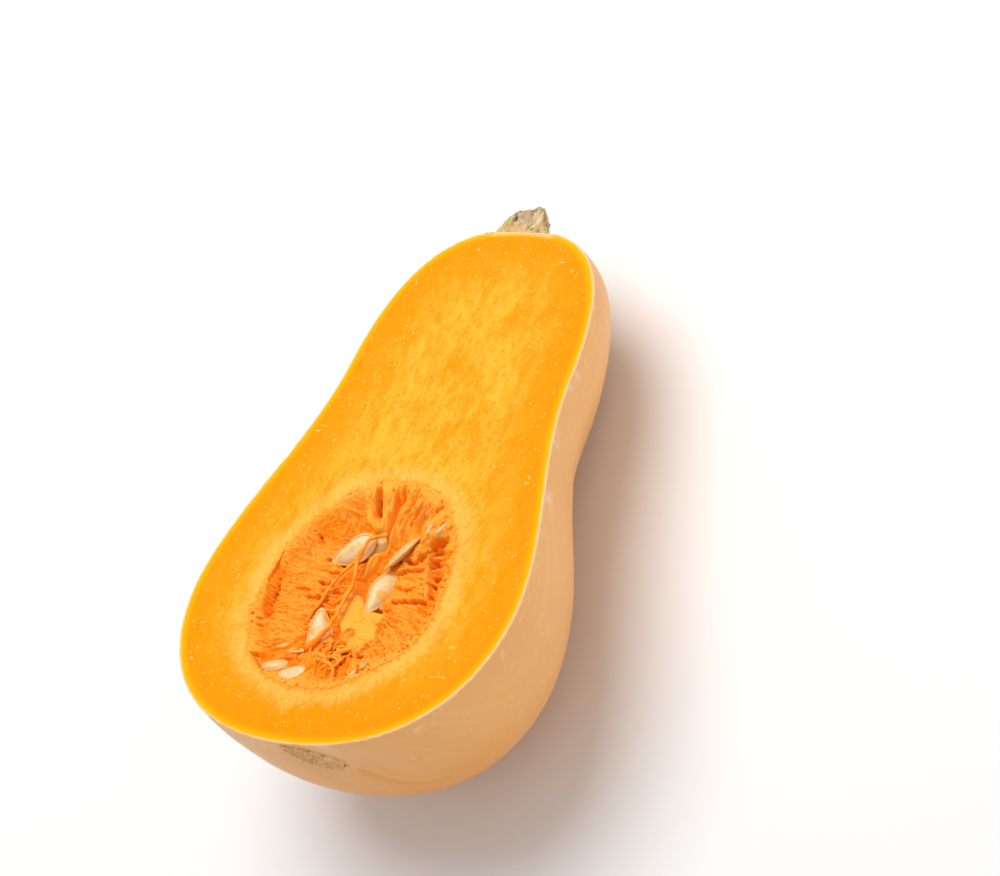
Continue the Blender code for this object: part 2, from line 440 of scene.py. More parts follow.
def makePulp():
    look = pulpLook
    material, shader = newMaterial("wetPulp", 0.36, 0.3, (1.0, 0.30, 0.05), 0.0014, specular=0.10)
    place = fruitVector()
    tone = attribute("ridge")
    pale = attribute("pale")
    gloss = attribute("gloss")
    patch = grain(place, 210.0, 4.0, 0.6)
    fine = grain(place, 1500.0, 3.0, 0.65)
    # ridge carries painted shade: dark towards hole in the valleys and carved dips, light towards crest on
    # the tops
    shifted = plus(tone, swing(patch, 0.35))
    base = mixColor(rangeOf(shifted, 0.0, 0.22), look["hole"], look["deep"])
    base = mixColor(rangeOf(shifted, 0.18, 0.55), base, look["base"])
    base = mixColor(rangeOf(shifted, 0.55, 0.95), base, look["crest"])
    base = mixColor(pale, base, look["pale"])
    base = mixColor(rangeOf(fine, 0.48, 0.75, 0.0, 0.30), base, look["pale"])
    base = mixColor(rangeOf(fine, 0.28, 0.44, 0.35, 0.0), base, look["deep"])
    join(base, shader.inputs["Base Color"])
    rough = maths("SUBTRACT", rangeOf(patch, 0.3, 0.7, 0.34, 0.55), times(gloss, 0.18))
    join(rough, shader.inputs["Roughness"])
    join(bump(plus(fine, patch), 0.45, 0.0004), shader.inputs["Normal"])
    return material


seedLook = {
    "coat": (0.78, 0.575, 0.275),
    "rim": (0.66, 0.38, 0.11),
    "stain": (0.94, 0.40, 0.03),
    "brown": (0.68, 0.39, 0.09),
    "kernel": (0.74, 0.54, 0.28),
}


def makeSeedCoat():
    look = seedLook
    material, shader = newMaterial("seedCoat", 0.38, 0.12, (1.0, 0.6, 0.3), 0.0008, 0.1)
    place = fruitVector()
    edge = attribute("seedEdge")
    flecks = useGroup(fleckGroup, Vector=place, Coarse=330.0, Fine=2200.0)
    film = attribute("film")
    base = mixColor(rangeOf(attribute("browned"), 0.0, 1.0, 0.0, 0.8), look["coat"], look["brown"])
    # Darker line just inside the seed's edge: the rim's own colour, with painted shade where the coat turns
    # down
    line = times(rangeOf(edge, 0.79, 0.87), rangeOf(edge, 0.88, 0.95, 0.45, 0.0))
    base = mixColor(line, base, look["rim"])
    patches = plus(grain(place, 300.0, 5.0, 0.65), times(film, 0.26))
    base = mixColor(rangeOf(patches, 0.60, 0.70, 0.0, 0.88), base, look["stain"])
    base = mixColor(rangeOf(flecks["Grain"], 0.52, 0.74, 0.0, 0.30), base, look["rim"])
    join(base, shader.inputs["Base Color"])
    height = plus(flecks["Grain"], flecks["Blotch"])
    join(bump(height, 0.2, 0.0002), shader.inputs["Normal"])
    return material


def makeKernel():
    material, shader = newMaterial("seedKernel", 0.45, 0.2, (1.0, 0.7, 0.4), 0.001)
    flecks = useGroup(fleckGroup, Vector=fruitVector(), Coarse=500.0, Fine=2500.0)
    base = mixColor(rangeOf(flecks["Blotch"], 0.4, 0.7, 0.0, 0.5), seedLook["kernel"], seedLook["coat"])
    join(base, shader.inputs["Base Color"])
    join(bump(flecks["Grain"], 0.2, 0.0002), shader.inputs["Normal"])
    return material


scarLook = {
    "base": (0.90, 0.48, 0.20),
    "pale": (1.0, 0.66, 0.34),
    "dark": (0.26, 0.11, 0.03),
}


def makeScarCork():
    look = scarLook
    material, shader = newMaterial("scarCork", 0.85, specular=0.2)
    place = fruitVector()
    turned = stretched(place, (0.7, 1.0, 1.0), (0, 0.45, 0))
    flecks = useGroup(fleckGroup, Vector=turned, Coarse=700.0, Fine=2000.0)
    base = mixColor(rangeOf(flecks["Blotch"], 0.48, 0.62), look["base"], look["pale"])
    base = mixColor(rangeOf(flecks["Grain"], 0.33, 0.43, 0.75, 0.0), base, look["dark"])
    specks = grain(place, 620.0, 3.0, 0.6)
    base = mixColor(rangeOf(specks, 0.30, 0.37, 0.85, 0.0), base, look["dark"])
    base = mixColor(rangeOf(attribute("scarEdge"), 0.86, 1.0, 0.0, 0.5), base, rindLook["base"])
    join(base, shader.inputs["Base Color"])
    height = plus(flecks["Grain"], times(flecks["Blotch"], 1.5))
    join(bump(height, 0.7, 0.0006), shader.inputs["Normal"])
    return material


corkLook = {
    "base": (0.54, 0.36, 0.15),
    "pale": (0.76, 0.59, 0.33),
    "tan": (0.74, 0.44, 0.17),
    "grey": (0.42, 0.31, 0.23),
    "dark": (0.26, 0.13, 0.05),
    "green": (0.60, 0.56, 0.14),
}


def makeStemCork():
    look = corkLook
    material, shader = newMaterial("stemCork", 0.8)
    place = fruitVector()
    flecks = useGroup(fleckGroup, Vector=stretched(place, (1.0, 0.35, 1.0)), Coarse=520.0, Fine=1900.0)
    fibres = grain(stretched(place, (1.0, 0.14, 1.0), (0, 0, 0.25)), 900.0, 4.0, 0.6, 0.4)
    base = mixColor(rangeOf(flecks["Blotch"], 0.42, 0.62), look["base"], look["pale"])
    base = mixColor(times(attribute("tan"), 0.85), base, look["tan"])
    grey = times(attribute("grey"), rangeOf(fibres, 0.38, 0.58, 0.2, 1.0))
    base = mixColor(grey, base, look["grey"])
    green = times(attribute("green"), rangeOf(fibres, 0.40, 0.60, 0.9, 0.2))
    base = mixColor(green, base, look["green"])
    base = mixColor(rangeOf(fibres, 0.36, 0.45, 0.85, 0.0), base, look["dark"])
    # Painted shade: the pits, which are also dug into the surface, are darkened
    base = mixColor(attribute("pit"), base, look["dark"])
    join(base, shader.inputs["Base Color"])
    height = plus(times(fibres, 1.6), flecks["Blotch"])
    join(bump(height, 0.7, 0.0006), shader.inputs["Normal"])
    return material


def makeFloor():
    material, shader = newMaterial("paleFloor", 0.75, specular=0.2)
    shader.inputs["Base Color"].default_value = (0.90, 0.90, 0.90, 1.0)
    return material


# The fruit's outline, as the frame's solid was turned

def roundedEnd(distance, reach, power):
    towardsTip = min(max(1 - distance / reach, 0.0), 1.0)
    return (1 - towardsTip ** power) ** (1 / power)


def halfWidth(y):
    share = min(max((fruit["waistY"] + fruit["waistHalf"] - y) / (2 * fruit["waistHalf"]), 0.0), 1.0)
    share = share * share * (3 - 2 * share)
    body = fruit["neckHalf"] + (fruit["bulbHalf"] - fruit["neckHalf"]) * share
    blossomEnd = roundedEnd(y, fruit["blossomCap"], fruit["blossomPower"])
    stemEnd = roundedEnd(fruit["length"] - y, fruit["stemCap"], fruit["stemPower"])
    return body * blossomEnd * stemEnd


def fruitProfile(rows):
    last = fruit["length"] - fruit["seatDrop"]
    stations = [last * (1 - math.cos(math.pi * i / rows)) / 2 for i in range(rows + 1)]
    wall = [(math.hypot(halfWidth(y), fruit["cutOffset"]), y) for y in stations]
    blossomCap = [(fruit["cutOffset"] * i / 5, 0.0) for i in range(5)]
    seat = [(wall[-1][0] * (1 - i / 6), last) for i in range(1, 7)]
    return blossomCap + wall + seat


def halfTurned(profile, cutColumns, backColumns, edgeWidth):
    # A turned body sliced along a plane that passes above its core: one grid for the flat cut and
    # one for the round back, which share their edges. Each row has a radius and a place along y.
    offset = fruit["cutOffset"]
    rows = len(profile) - 1
    bm = bmesh.new()
    isBack = bm.verts.layers.int.new("isBack")
    around = bm.verts.layers.float.new("around")
    along = bm.verts.layers.float.new("along")
    rim = bm.verts.layers.float.new("rimDistance")
    for back, columns in ((0, cutColumns), (1, backColumns)):
        before = set(bm.verts)
        bmesh.ops.create_grid(bm, x_segments=columns, y_segments=rows, size=1.0)
        for vert in [v for v in bm.verts if v not in before]:
            side, row = vert.co.x, round((vert.co.y + 1) / 2 * rows)
            radius, y = profile[row]
            reach = math.acos(max(-offset / radius, -1.0)) if radius > 0.001 else math.pi
            half = math.sqrt(max(radius * radius - offset * offset, 0.0))
            vert[isBack] = back
            vert[along] = y
            if back:
                angle = -side * reach
                vert.co = (radius * math.sin(angle), y, -offset - radius * math.cos(angle))
                vert[around] = angle * radius
                vert[rim] = (reach - abs(angle)) * radius
            else:
                x = half * (0.6 * side + 0.4 * math.sin(side * math.pi / 2))
                if 0 < half - abs(x) < edgeWidth * 2 and abs(side) < 1:
                    x = math.copysign(max(half - edgeWidth, half * 0.98), x)
                vert.co = (x, y, min(radius - offset, 0.0))
    for face in bm.faces:
        face.material_index = 1 if sum(v[isBack] for v in face.verts) > 2 else 0
    bmesh.ops.remove_doubles(bm, verts=bm.verts, dist=0.02)
    bmesh.ops.dissolve_degenerate(bm, edges=bm.edges, dist=0.005)
    bmesh.ops.recalc_face_normals(bm, faces=bm.faces)
    return bm


# The seed hollow: its edge on the cut, and the bowl below

hollow = {
    "x": -1.2, "y": 47.5, "half": 32.0, "toStem": 40.0, "toBlossom": 29.4, "power": 2.2,
    "depth": 34.0, "bowl": 27.0,      # how deep it is, and how far in from the edge its wall still falls
}


def hollowReach(angle):
    # Distance from the hollow's middle to its edge in one direction, with its two flatter corners
    c, s = math.cos(angle), math.sin(angle)
    alongReach = hollow["toStem"] if s > 0 else hollow["toBlossom"]
    power = hollow["power"]
    reach = (abs(c / hollow["half"]) ** power + abs(s / alongReach) ** power) ** (-1 / power)
    lowerRight = math.exp(-((math.degrees(angle) + 50) / 22) ** 2)
    upperLeft = math.exp(-((math.degrees(angle) - 128) / 18) ** 2)
    ripple = 0.6 * wobble(c * 9, s * 9, 3.1, 1.6) + 0.35 * wobble(c * 9, s * 9, 7.7, 0.5)
    return reach * (1 - 0.09 * lowerRight - 0.04 * upperLeft) + ripple


def insideHollow(x, y):
    # Millimetres inside the edge, negative outside
    dx, dy = x - hollow["x"], y - hollow["y"]
    return hollowReach(math.atan2(dy, dx)) - math.hypot(dx, dy)


body = {
    "rows": 236, "cutColumns": 150, "backColumns": 112, "edgeWidth": 0.5,
    "lumps": 0.45, "cutWave": 0.12, "flankDip": 3.6, "edgeMarks": 6000,
    # soft fold in the skin that runs on from the blossom scar
    "fold": [(13.4, 1.2, -15.2), (16.5, 1.8, -17.6), (19.5, 3.2, -22.1), (23.6, 6.0, -28.1),
             (28.4, 9.8, -32.7), (33.9, 14.5, -35.3), (40.0, 21.0, -37.0)],
    "foldDepth": 1.0, "foldWidth": 1.9,
    "dimple": {"x": 6.0, "z": -11.0, "radiusX": 26.0, "radiusZ": 10.0, "depth": 1.9},
}


def blossomDimple(x, z):
    d = body["dimple"]
    dip = hill(x, z, d["x"], d["z"], d["radiusX"], d["radiusZ"], -12.0)
    return d["depth"] * dip


def skinPush(x, y, z):
    # How far the skin's slight lumps stand out
    return body["lumps"] * (wobble(x, y, z, 34.0) + 0.5 * wobble(x, y, z, 13.0)) - 0.25


def foldShare(place):
    # 1 in the fold's valley, -0.5 on the ridge just above it, fading out at both ends
    best, share = 100.0, 0.0
    points = [Vector(p) for p in body["fold"]]
    for i, (a, b) in enumerate(zip(points, points[1:])):
        t = min(max((place - a).dot(b - a) / (b - a).length_squared, 0.0), 1.0)
        away = (place - a - t * (b - a)).length
        if away < best:
            best, share = away, (i + t) / (len(points) - 1)
            above = (place - a - t * (b - a)).z > 0
    valley = math.exp(-(best / body["foldWidth"]) ** 2)
    ridge = 0.5 * math.exp(-((best - 3.6) / 2.2) ** 2) if above else 0.0
    return (valley - ridge) * smoothStep(0.0, 0.12, share) * smoothStep(1.0, 0.45, share)


def cutSurface(x, y):
    # The knife's slight waviness
    return body["cutWave"] * wobble(x, y, 0.0, 17.0) + 0.05 * wobble(x, y, 5.0, 3.0)


def makeBody(flesh, rind):
    profile = fruitProfile(body["rows"])
    bm = halfTurned(profile, body["cutColumns"], body["backColumns"], body["edgeWidth"])
    isBack = bm.verts.layers.int["isBack"]
    rim = bm.verts.layers.float["rimDistance"]
    around = bm.verts.layers.float["around"]
    hollowDistance = bm.verts.layers.float.new("hollowDistance")
    shoulder = bm.verts.layers.float.new("shoulder")
    hollowTurn = bm.verts.layers.float.new("hollowTurn")
    stemLip = bm.verts.layers.float.new("stemLip")
    greenLip = bm.verts.layers.float.new("greenLip")
    marks = body["edgeMarks"]
    edgeTree = kdtree.KDTree(marks)
    for i in range(marks):
        y = fruit["length"] * (1 - math.cos(math.pi * (i // 2) / (marks // 2 - 1))) / 2
        edgeTree.insert(((-1) ** i * halfWidth(y), y, 0.0), i)
    edgeTree.balance()
    bm.normal_update()
    for vert in bm.verts:
        x, y, z = vert.co
        if vert[isBack] or z < -0.01:
            normal = vert.normal.copy()
            turned = abs(vert[around]) / max(math.hypot(x, z + fruit["cutOffset"]), 1.0)
            flank = math.exp(-((turned - 0.95) / 0.42) ** 2) * smoothStep(70.0, 112.0, y)
            vert.co.x -= normal.x * body["flankDip"] * flank
            vert.co.z -= normal.z * body["flankDip"] * flank
            push = skinPush(x, y, z) * smoothStep(0.0, 12.0, vert[rim])
            vert.co += normal * push
            if y < 36.0 and 4.0 < x < 52.0:
                vert.co -= normal * body["foldDepth"] * foldShare(Vector((x, y, z)))
            vert.co.y += blossomDimple(x, z) * smoothStep(30.0, 4.0, y)
            vert[hollowDistance] = 50.0
            vert[shoulder] = smoothStep(fruit["length"] - 9.0, fruit["length"] - 1.0, y)
            continue
        vert[rim] = edgeTree.find(Vector((x, y, 0.0)))[2]
        inside = insideHollow(x, y)
        if abs(inside) < 0.36 and vert[rim] > 1.0:
            outward = Vector((x - hollow["x"], y - hollow["y"], 0.0)).normalized()
            vert.co += outward * inside
            inside = 0.0
        vert[hollowDistance] = -inside
        nearStem = smoothStep(fruit["length"] - 6.0, fruit["length"] - 1.5, y)
        vert[stemLip] = nearStem * smoothStep(13.0, 9.0, abs(x))
        vert[greenLip] = nearStem * smoothStep(-9.0, -12.0, x)
        nick = 0.35 * max(0.0, wobble(x * 3, y, 9.0, 4.0) - 0.25) * smoothStep(1.2, 0.2, vert[rim])
        vert.co.z += cutSurface(x, y) - nick - 0.2 * smoothStep(0.5, 0.0, vert[rim])
        vert[hollowTurn] = math.atan2(y - hollow["y"], x - hollow["x"])
        fromMiddle = 1 - min(max(inside / hollow["bowl"], 0.0), 1.0)
        vert.co.z -= hollow["depth"] * math.sqrt(1 - fromMiddle * fromMiddle)
    made = piece("squashBody", bm, [flesh, rind], ("squash_half",), 50.0)
    for vert in made.data.vertices:      # it rests on two small flats
        vert.co.z = max(vert.co.z, 0.0)
    return made


# Pulp bed: a smooth dish, with every fibre, crease and hole painted onto its height, and painted shade in
# its colour that darkens the valleys and holes

bed = {
    "cells": 290, "overlap": 1.5,
    "dishY": 52.5, "dishLift": 27.7, "dishDepth": 9.0, "dishHalfX": 60.0, "dishHalfY": 66.0,
    "markLevel": -3.0, "leanX": 0.90, "leanY": -0.63,
    # level pulp round the sliced seeds: x, y, reach across, reach along, level
    "collars": [(-9.3, 22.4, 7.2, 3.7, -0.05), (16.2, 74.6, 4.6, 4.6, -0.45),
                (12.2, 27.0, 4.4, 3.6, -0.45)],
    # pulp kept clear of the seeds that lie on it: seed, reach along, reach across, depth under
    "seats": [(1, 7.6, 4.2, 0.5), (2, 5.4, 3.2, 0.8), (3, 7.2, 3.4, 0.4), (4, 6.4, 4.2, 0.5),
              (5, 7.0, 4.0, 0.6), (7, 5.6, 3.2, 0.3), (8, 4.2, 2.2, -0.7)],
    "coreX": 1.5, "coreLow": 34.0, "coreHigh": 70.0,
    # middle and reach of the smooth pocket, the wet film and the lower left
    "pocket": (-16.4, 81.4, 7.6, 5.0), "wet": (-19.5, 71.8, 7.5, 4.0), "lowLeft": (-19.0, 32.0, 9.0, 6.0),
    # the hidden underside: how far down, and its share of the hollow's reach
    "skirt": [(3.5, 0.97), (9.0, 0.92), (17.0, 0.80), (24.0, 0.60), (28.0, 0.36)],
}


def dishHeight(x, y):
    q = 1 - ((x - hollow["x"]) / bed["dishHalfX"]) ** 2 - ((y - bed["dishY"]) / bed["dishHalfY"]) ** 2
    return bed["dishLift"] - (bed["dishLift"] + bed["dishDepth"]) * math.sqrt(max(q, 0.0))


def sink(x, y, z):
    # The marks below are laid out 3 mm under the cut; deeper ones slide along one slanted line
    drop = z - bed["markLevel"]
    return x + bed["leanX"] * drop, y + bed["leanY"] * drop


def fibreFlow(x, y):
    # Fibres run outwards from the core line
    dx, dy = x - bed["coreX"], y - min(max(y, bed["coreLow"]), bed["coreHigh"])
    away = max(math.hypot(dx, dy), 0.001)
    return dx / away, dy / away


def smoothRoute(points, step=0.7):
    # Catmull-Rom through (x, y, share of the width) points
    rich = [tuple(p) + (1.0,) * (3 - len(p)) for p in points]
    rich = [rich[0]] + rich + [rich[-1]]
    route = []
    for a, b, c, d in zip(rich, rich[1:], rich[2:], rich[3:]):
        count = max(int(math.hypot(c[0] - b[0], c[1] - b[1]) / step), 1)
        for i in range(count):
            t = i / count
            route.append(tuple(
                0.5 * (2 * b[k] + (c[k] - a[k]) * t + (2 * a[k] - 5 * b[k] + 4 * c[k] - d[k]) * t * t
                       + (3 * b[k] - a[k] - 3 * c[k] + d[k]) * t ** 3) for k in range(3)))
    route.append(rich[-1])
    return route


def paintStroke(field, points, width, rise, pale=0.0, tone=1.0, marks=True, shaky=0.25,
                carveShade=None, flat=1.0, over=False):
    # marks: laid out on the cut's level; carve: dig, and paint shade this dark into the dip; flat: below 1
    # for a flatter top
    gridX, gridY = (field["markX"], field["markY"]) if marks else (field["x"], field["y"])
    route = smoothRoute(points)
    route = [
        (x + shaky * wobble(x, y, rise * 9.0, 2.6), y + shaky * wobble(y, x, width * 9.0, 2.6), w)
        for x, y, w in route]
    reach = width * 1.3
    lowX, highX = min(r[0] for r in route) - reach, max(r[0] for r in route) + reach
    lowY, highY = min(r[1] for r in route) - reach, max(r[1] for r in route) + reach
    near = np.nonzero((gridX > lowX) & (gridX < highX) & (gridY > lowY) & (gridY < highY))[0]
    if len(near) == 0 or len(route) < 2:
        return
    x, y = gridX[near], gridY[near]
    best = np.zeros(len(near))
    last = len(route) - 1
    for i, (a, b) in enumerate(zip(route, route[1:])):
        alongX, alongY = b[0] - a[0], b[1] - a[1]
        lengthSquared = max(alongX * alongX + alongY * alongY, 1e-6)
        t = np.clip(((x - a[0]) * alongX + (y - a[1]) * alongY) / lengthSquared, 0.0, 1.0)
        away = np.hypot(x - a[0] - t * alongX, y - a[1] - t * alongY)
        share = (i + t) / last
        taper = np.clip(np.minimum(share, 1 - share) * 5.0 + 0.25, 0.0, 1.0)
        wide = np.maximum(width * (a[2] + (b[2] - a[2]) * t) * (0.6 + 0.4 * taper), 0.05)
        best = np.maximum(best, np.clip(1 - (away / wide) ** 2, 0.0, 1.0) * taper)
    if carveShade is not None:
        field["dip"][near] = np.maximum(field["dip"][near], rise * np.sqrt(best))
        field["dark"][near] = np.maximum(field["dark"][near], carveShade * np.sqrt(best))
        return
    if over:      # a thread on top of what is there already
        field["lift"][near] += rise * best
        field["pale"][near] = np.clip(field["pale"][near] + pale * best, 0.0, 1.0)
        field["thread"][near] = np.maximum(field["thread"][near], best * (tone - 1.0))
        return
    best = best ** flat
    raised = rise * best
    wins = raised > field["lift"][near]
    chosen = near[wins]
    field["lift"][chosen] = raised[wins]
    field["crest"][chosen] = best[wins]
    field["pale"][chosen] = pale * best[wins]
    field["tone"][chosen] = tone


def insideShape(field, corners):
    # Distance inside a closed outline of marks, negative outside
    x, y = field["markX"], field["markY"]
    nearest = np.full(len(x), 1e6)
    crossings = np.zeros(len(x), dtype=int)
    for (ax, ay), (bx, by) in zip(corners, corners[1:] + corners[:1]):
        dx, dy = bx - ax, by - ay
        t = np.clip(((x - ax) * dx + (y - ay) * dy) / (dx * dx + dy * dy), 0.0, 1.0)
        nearest = np.minimum(nearest, np.hypot(x - ax - t * dx, y - ay - t * dy))
        spans = (ay > y) != (by > y)
        crossings += spans & (x < ax + (y - ay) * dx / (dy if abs(dy) > 1e-9 else 1e-9))
    return np.where(crossings % 2 == 1, nearest, -nearest)


def softStep(low, high, values):
    t = np.clip((values - low) / (high - low), 0.0, 1.0)
    return t * t * (3 - 2 * t)


def plateau(x, y, middleX, middleY, reachX, reachY, power=4):
    # 1 in the middle, level out to about its reach, then 0
    return np.exp(-((x - middleX) / reachX) ** power - ((y - middleY) / reachY) ** power)


# Outline of the pale smooth lump in the lower middle
lumpCorners = [
    (-3.5, 52.6), (-0.5, 51.0), (2.8, 49.4), (6.7, 45.6), (14.4, 44.4), (13.6, 38.7), (14.9, 35.0),
    (9.6, 28.9), (2.3, 34.9), (-2.4, 40.5), (-5.5, 44.6)]

# Long strands and folds: points, width, rise, paleness, tone
heroStrokes = [
    ([(-5.6, 89.0, 1.3), (-2.8, 80.1, 1.1), (0.2, 71.8, 1.0), (1.0, 65.7, 0.9), (0.4, 58.9, 0.7),
      (-0.4, 55.0, 0.5)], 2.2, 2.1, 0.70, 1.0),
    # The narrow raised strokes laid along the crests of the wide ones are paler: their own paler fibre,
    # with a painted highlight along the crest
    ([(-3.0, 88.5), (-0.9, 80.0), (1.3, 72.0), (1.8, 66.0)], 0.8, 3.0, 0.8, 1.0),
    ([(-12.8, 88.0), (-10.4, 82.0), (-8.3, 77.6), (-4.3, 73.1), (-0.6, 70.6)], 1.7, 2.3, 0.40, 0.95),
    ([(-10.6, 88.4), (-8.6, 83.0), (-6.8, 79.0)], 0.7, 2.8, 0.50, 1.0),
    ([(3.4, 88.8), (4.0, 81.3), (3.7, 76.1), (4.2, 69.0), (3.4, 64.0)], 1.4, 2.1, 0.15, 0.85),
    ([(9.0, 89.0), (8.6, 79.3), (7.2, 74.1), (7.4, 68.0)], 2.5, 2.3, 0.12, 0.90),
    ([(9.8, 88.6), (9.6, 80.6), (8.2, 75.6)], 0.7, 2.8, 0.45, 1.0),
    ([(14.4, 87.2), (12.4, 81.3), (10.0, 75.4), (10.0, 70.0)], 2.7, 1.9, 0.22, 0.90),
    ([(16.0, 85.6), (14.0, 80.0), (11.6, 75.6)], 0.6, 2.4, 0.50, 1.0),
    ([(21.0, 80.6), (17.4, 75.4), (13.2, 70.4), (11.6, 66.5)], 1.7, 1.7, 0.2, 0.85),
    ([(23.0, 74.0), (19.0, 70.4), (14.5, 66.4), (11.0, 64.0)], 1.3, 1.6, 0.2, 0.8),
    ([(-26.0, 76.0), (-22.0, 77.4), (-18.6, 77.4), (-13.0, 77.0), (-9.4, 76.0)], 0.8, 1.3, 0.15, 0.8),
    ([(-25.2, 75.5), (-27.4, 71.2), (-25.4, 65.7), (-20.4, 61.0), (-15.0, 58.4)], 0.5, 1.5, 0.25, 0.9),
    ([(20.3, 66.0), (21.3, 62.9), (23.4, 57.5), (24.9, 53.1), (25.4, 49.5)], 0.7, 2.6, 0.5, 1.0),
    ([(-10.6, 34.5), (-13.4, 30.4), (-19.0, 28.2), (-23.0, 26.6)], 2.4, 2.2, 0.0, 0.50),
    ([(-8.4, 33.4), (-6.4, 29.0), (-5.0, 24.6)], 2.6, 1.9, 0.0, 0.50),
    ([(-14.0, 34.0), (-18.5, 33.4), (-23.0, 32.0)], 1.0, 1.3, 0.1, 0.75),
    ([(6.6, 37.6, 0.3), (4.6, 35.4, 1.0), (3.4, 33.2, 1.1)], 1.5, 2.7, 0.0, 0.55),
]

# Creases and holes: points, half width, depth, and darkness of the shade painted into them
carvedStrokes = [
    ([(-7.4, 84.4), (-6.0, 81.2), (-4.8, 77.1)], 1.2, 2.8, 0.75),
    ([(1.2, 86.0), (2.2, 80.0), (2.4, 75.0)], 0.7, 1.6, 0.45),
    ([(6.9, 86.0), (7.0, 79.0), (5.6, 73.0)], 0.7, 1.5, 0.45),
    ([(11.0, 79.0), (8.9, 73.0)], 0.6, 1.4, 0.45),
    ([(17.8, 80.8), (15.8, 78.4)], 0.75, 1.8, 0.9),
    ([(-31.6, 60.4, 0.5), (-31.4, 55.0, 1.0), (-29.2, 48.0, 1.1), (-27.6, 40.0, 0.6)], 1.9, 3.0, 0.42),
    ([(-31.0, 57.4), (-30.6, 55.4)], 0.6, 4.0, 0.9),
    ([(-29.6, 51.4), (-28.6, 47.6)], 0.7, 4.0, 0.8),
    ([(20.0, 67.0), (22.4, 69.0), (24.2, 69.8)], 1.45, 5.0, 1.0),
    ([(16.0, 63.6), (19.8, 65.4)], 0.85, 5.0, 1.0),
    ([(21.6, 65.2), (24.2, 66.6)], 0.95, 4.6, 1.0),
    ([(21.6, 62.4), (24.8, 63.2)], 0.90, 4.6, 1.0),
    ([(22.2, 60.2), (25.2, 60.8)], 0.95, 4.2, 0.95),
    ([(24.6, 57.6), (27.2, 58.0)], 0.95, 4.2, 0.95),
    ([(24.8, 54.8), (27.4, 55.0)], 0.80, 3.8, 0.9),
    ([(26.0, 51.6), (27.8, 51.6)], 0.70, 3.4, 0.9),
    ([(11.4, 58.2), (15.6, 58.7), (20.4, 59.6)], 0.75, 4.0, 0.9),
    ([(13.4, 48.9), (19.0, 48.6), (25.2, 49.6)], 0.80, 4.0, 0.95),
    ([(11.6, 53.4), (16.0, 53.0), (21.0, 53.8)], 0.45, 2.0, 0.6),
    ([(12.0, 62.4), (15.5, 61.6), (18.0, 62.6)], 0.75, 3.0, 0.8),
    ([(9.0, 45.4), (12.4, 45.0)], 0.90, 3.8, 1.0),
    ([(13.4, 34.9), (10.6, 30.7), (9.2, 26.6)], 0.75, 4.0, 0.95),
    ([(-16.0, 60.4), (-9.0, 59.6)], 0.65, 2.4, 0.85),
    ([(-22.0, 50.2), (-17.5, 49.6)], 0.45, 1.8, 0.8),
    ([(-17.0, 47.4), (-9.0, 47.2)], 0.65, 2.4, 0.85),
    ([(-15.5, 52.6), (-9.0, 52.0)], 0.60, 2.4, 0.85),
    ([(-12.5, 56.4), (-8.0, 55.8)], 0.50, 2.2, 0.8),
    ([(-24.6, 26.8), (-27.0, 27.6)], 0.8, 2.0, 0.7),
    ([(-22.4, 67.6), (-20.8, 66.8)], 0.5, 1.6, 0.7),
]


felt = {"lamellae": 330, "shelves": 240, "rimFibres": 430, "middleFibres": 560, "rimPits": 95, "loops": 26}


def wander(chance, x, y, heading, length, count, thin, thick, drift):
    # A fibre's places, each with its share of the width; the heading drifts by some degrees a step
    points = []
    for step in range(count):
        points.append((x, y, chance.uniform(thin, thick)))
        heading += math.radians(chance.gauss(0.0, drift))
        x += math.cos(heading) * length / (count - 1)
        y += math.sin(heading) * length / (count - 1)
    return points


def leftLamellae(chance):
    # Thin shelves that cross the left of the bed
    strokes = []
    for i in range(felt["lamellae"]):
        y = 33.0 + 31.0 * i / felt["lamellae"] + chance.uniform(-0.35, 0.35)
        leftEdge = -28.4 + 3.2 * smoothStep(42.0, 33.0, y) + 1.4 * smoothStep(56.0, 64.0, y)
        x = leftEdge + chance.choice((0.0, 0.0, 0.4, 0.6, 0.9)) * chance.uniform(0.0, 15.0)
        heading = math.radians(chance.gauss(-3.0, 4.5))
        length = chance.uniform(5.0, 20.0)
        points = wander(chance, x, y, heading, length, 6, 0.65, 1.2, 5.0)
        points = [p for p in points if p[0] < -5.0]
        if len(points) > 2:
            strokes.append((
                points, chance.uniform(0.22, 0.50), chance.uniform(0.5, 1.7),
                chance.choice((0.0, 0.1, 0.35)), chance.uniform(0.72, 1.0)))
    return strokes


def rightShelves(chance):
    # Radial shelves between the middle and the right wall, and down round the blossom end
    strokes = []
    for i in range(felt["shelves"]):
        share = i / (felt["shelves"] - 1)
        startY = 67.0 - 38.0 * share + chance.uniform(-0.5, 0.5)
        startX = 11.0 + 3.5 * smoothStep(0.35, 0.7, share) + chance.uniform(-1.5, 7.0)
        heading = math.radians(9.0 - 62.0 * share ** 1.6 + chance.gauss(0.0, 5.0))
        length = chance.uniform(5.0, 14.0)
        points = wander(chance, startX, startY, heading, length, 6, 0.6, 1.3, 6.0)
        strokes.append((
            points, chance.uniform(0.25, 0.60), chance.uniform(0.8, 2.1),
            chance.choice((0.0, 0.15, 0.3)) + 0.2 * smoothStep(0.55, 0.8, share),
            chance.uniform(0.70, 1.0)))
    return strokes


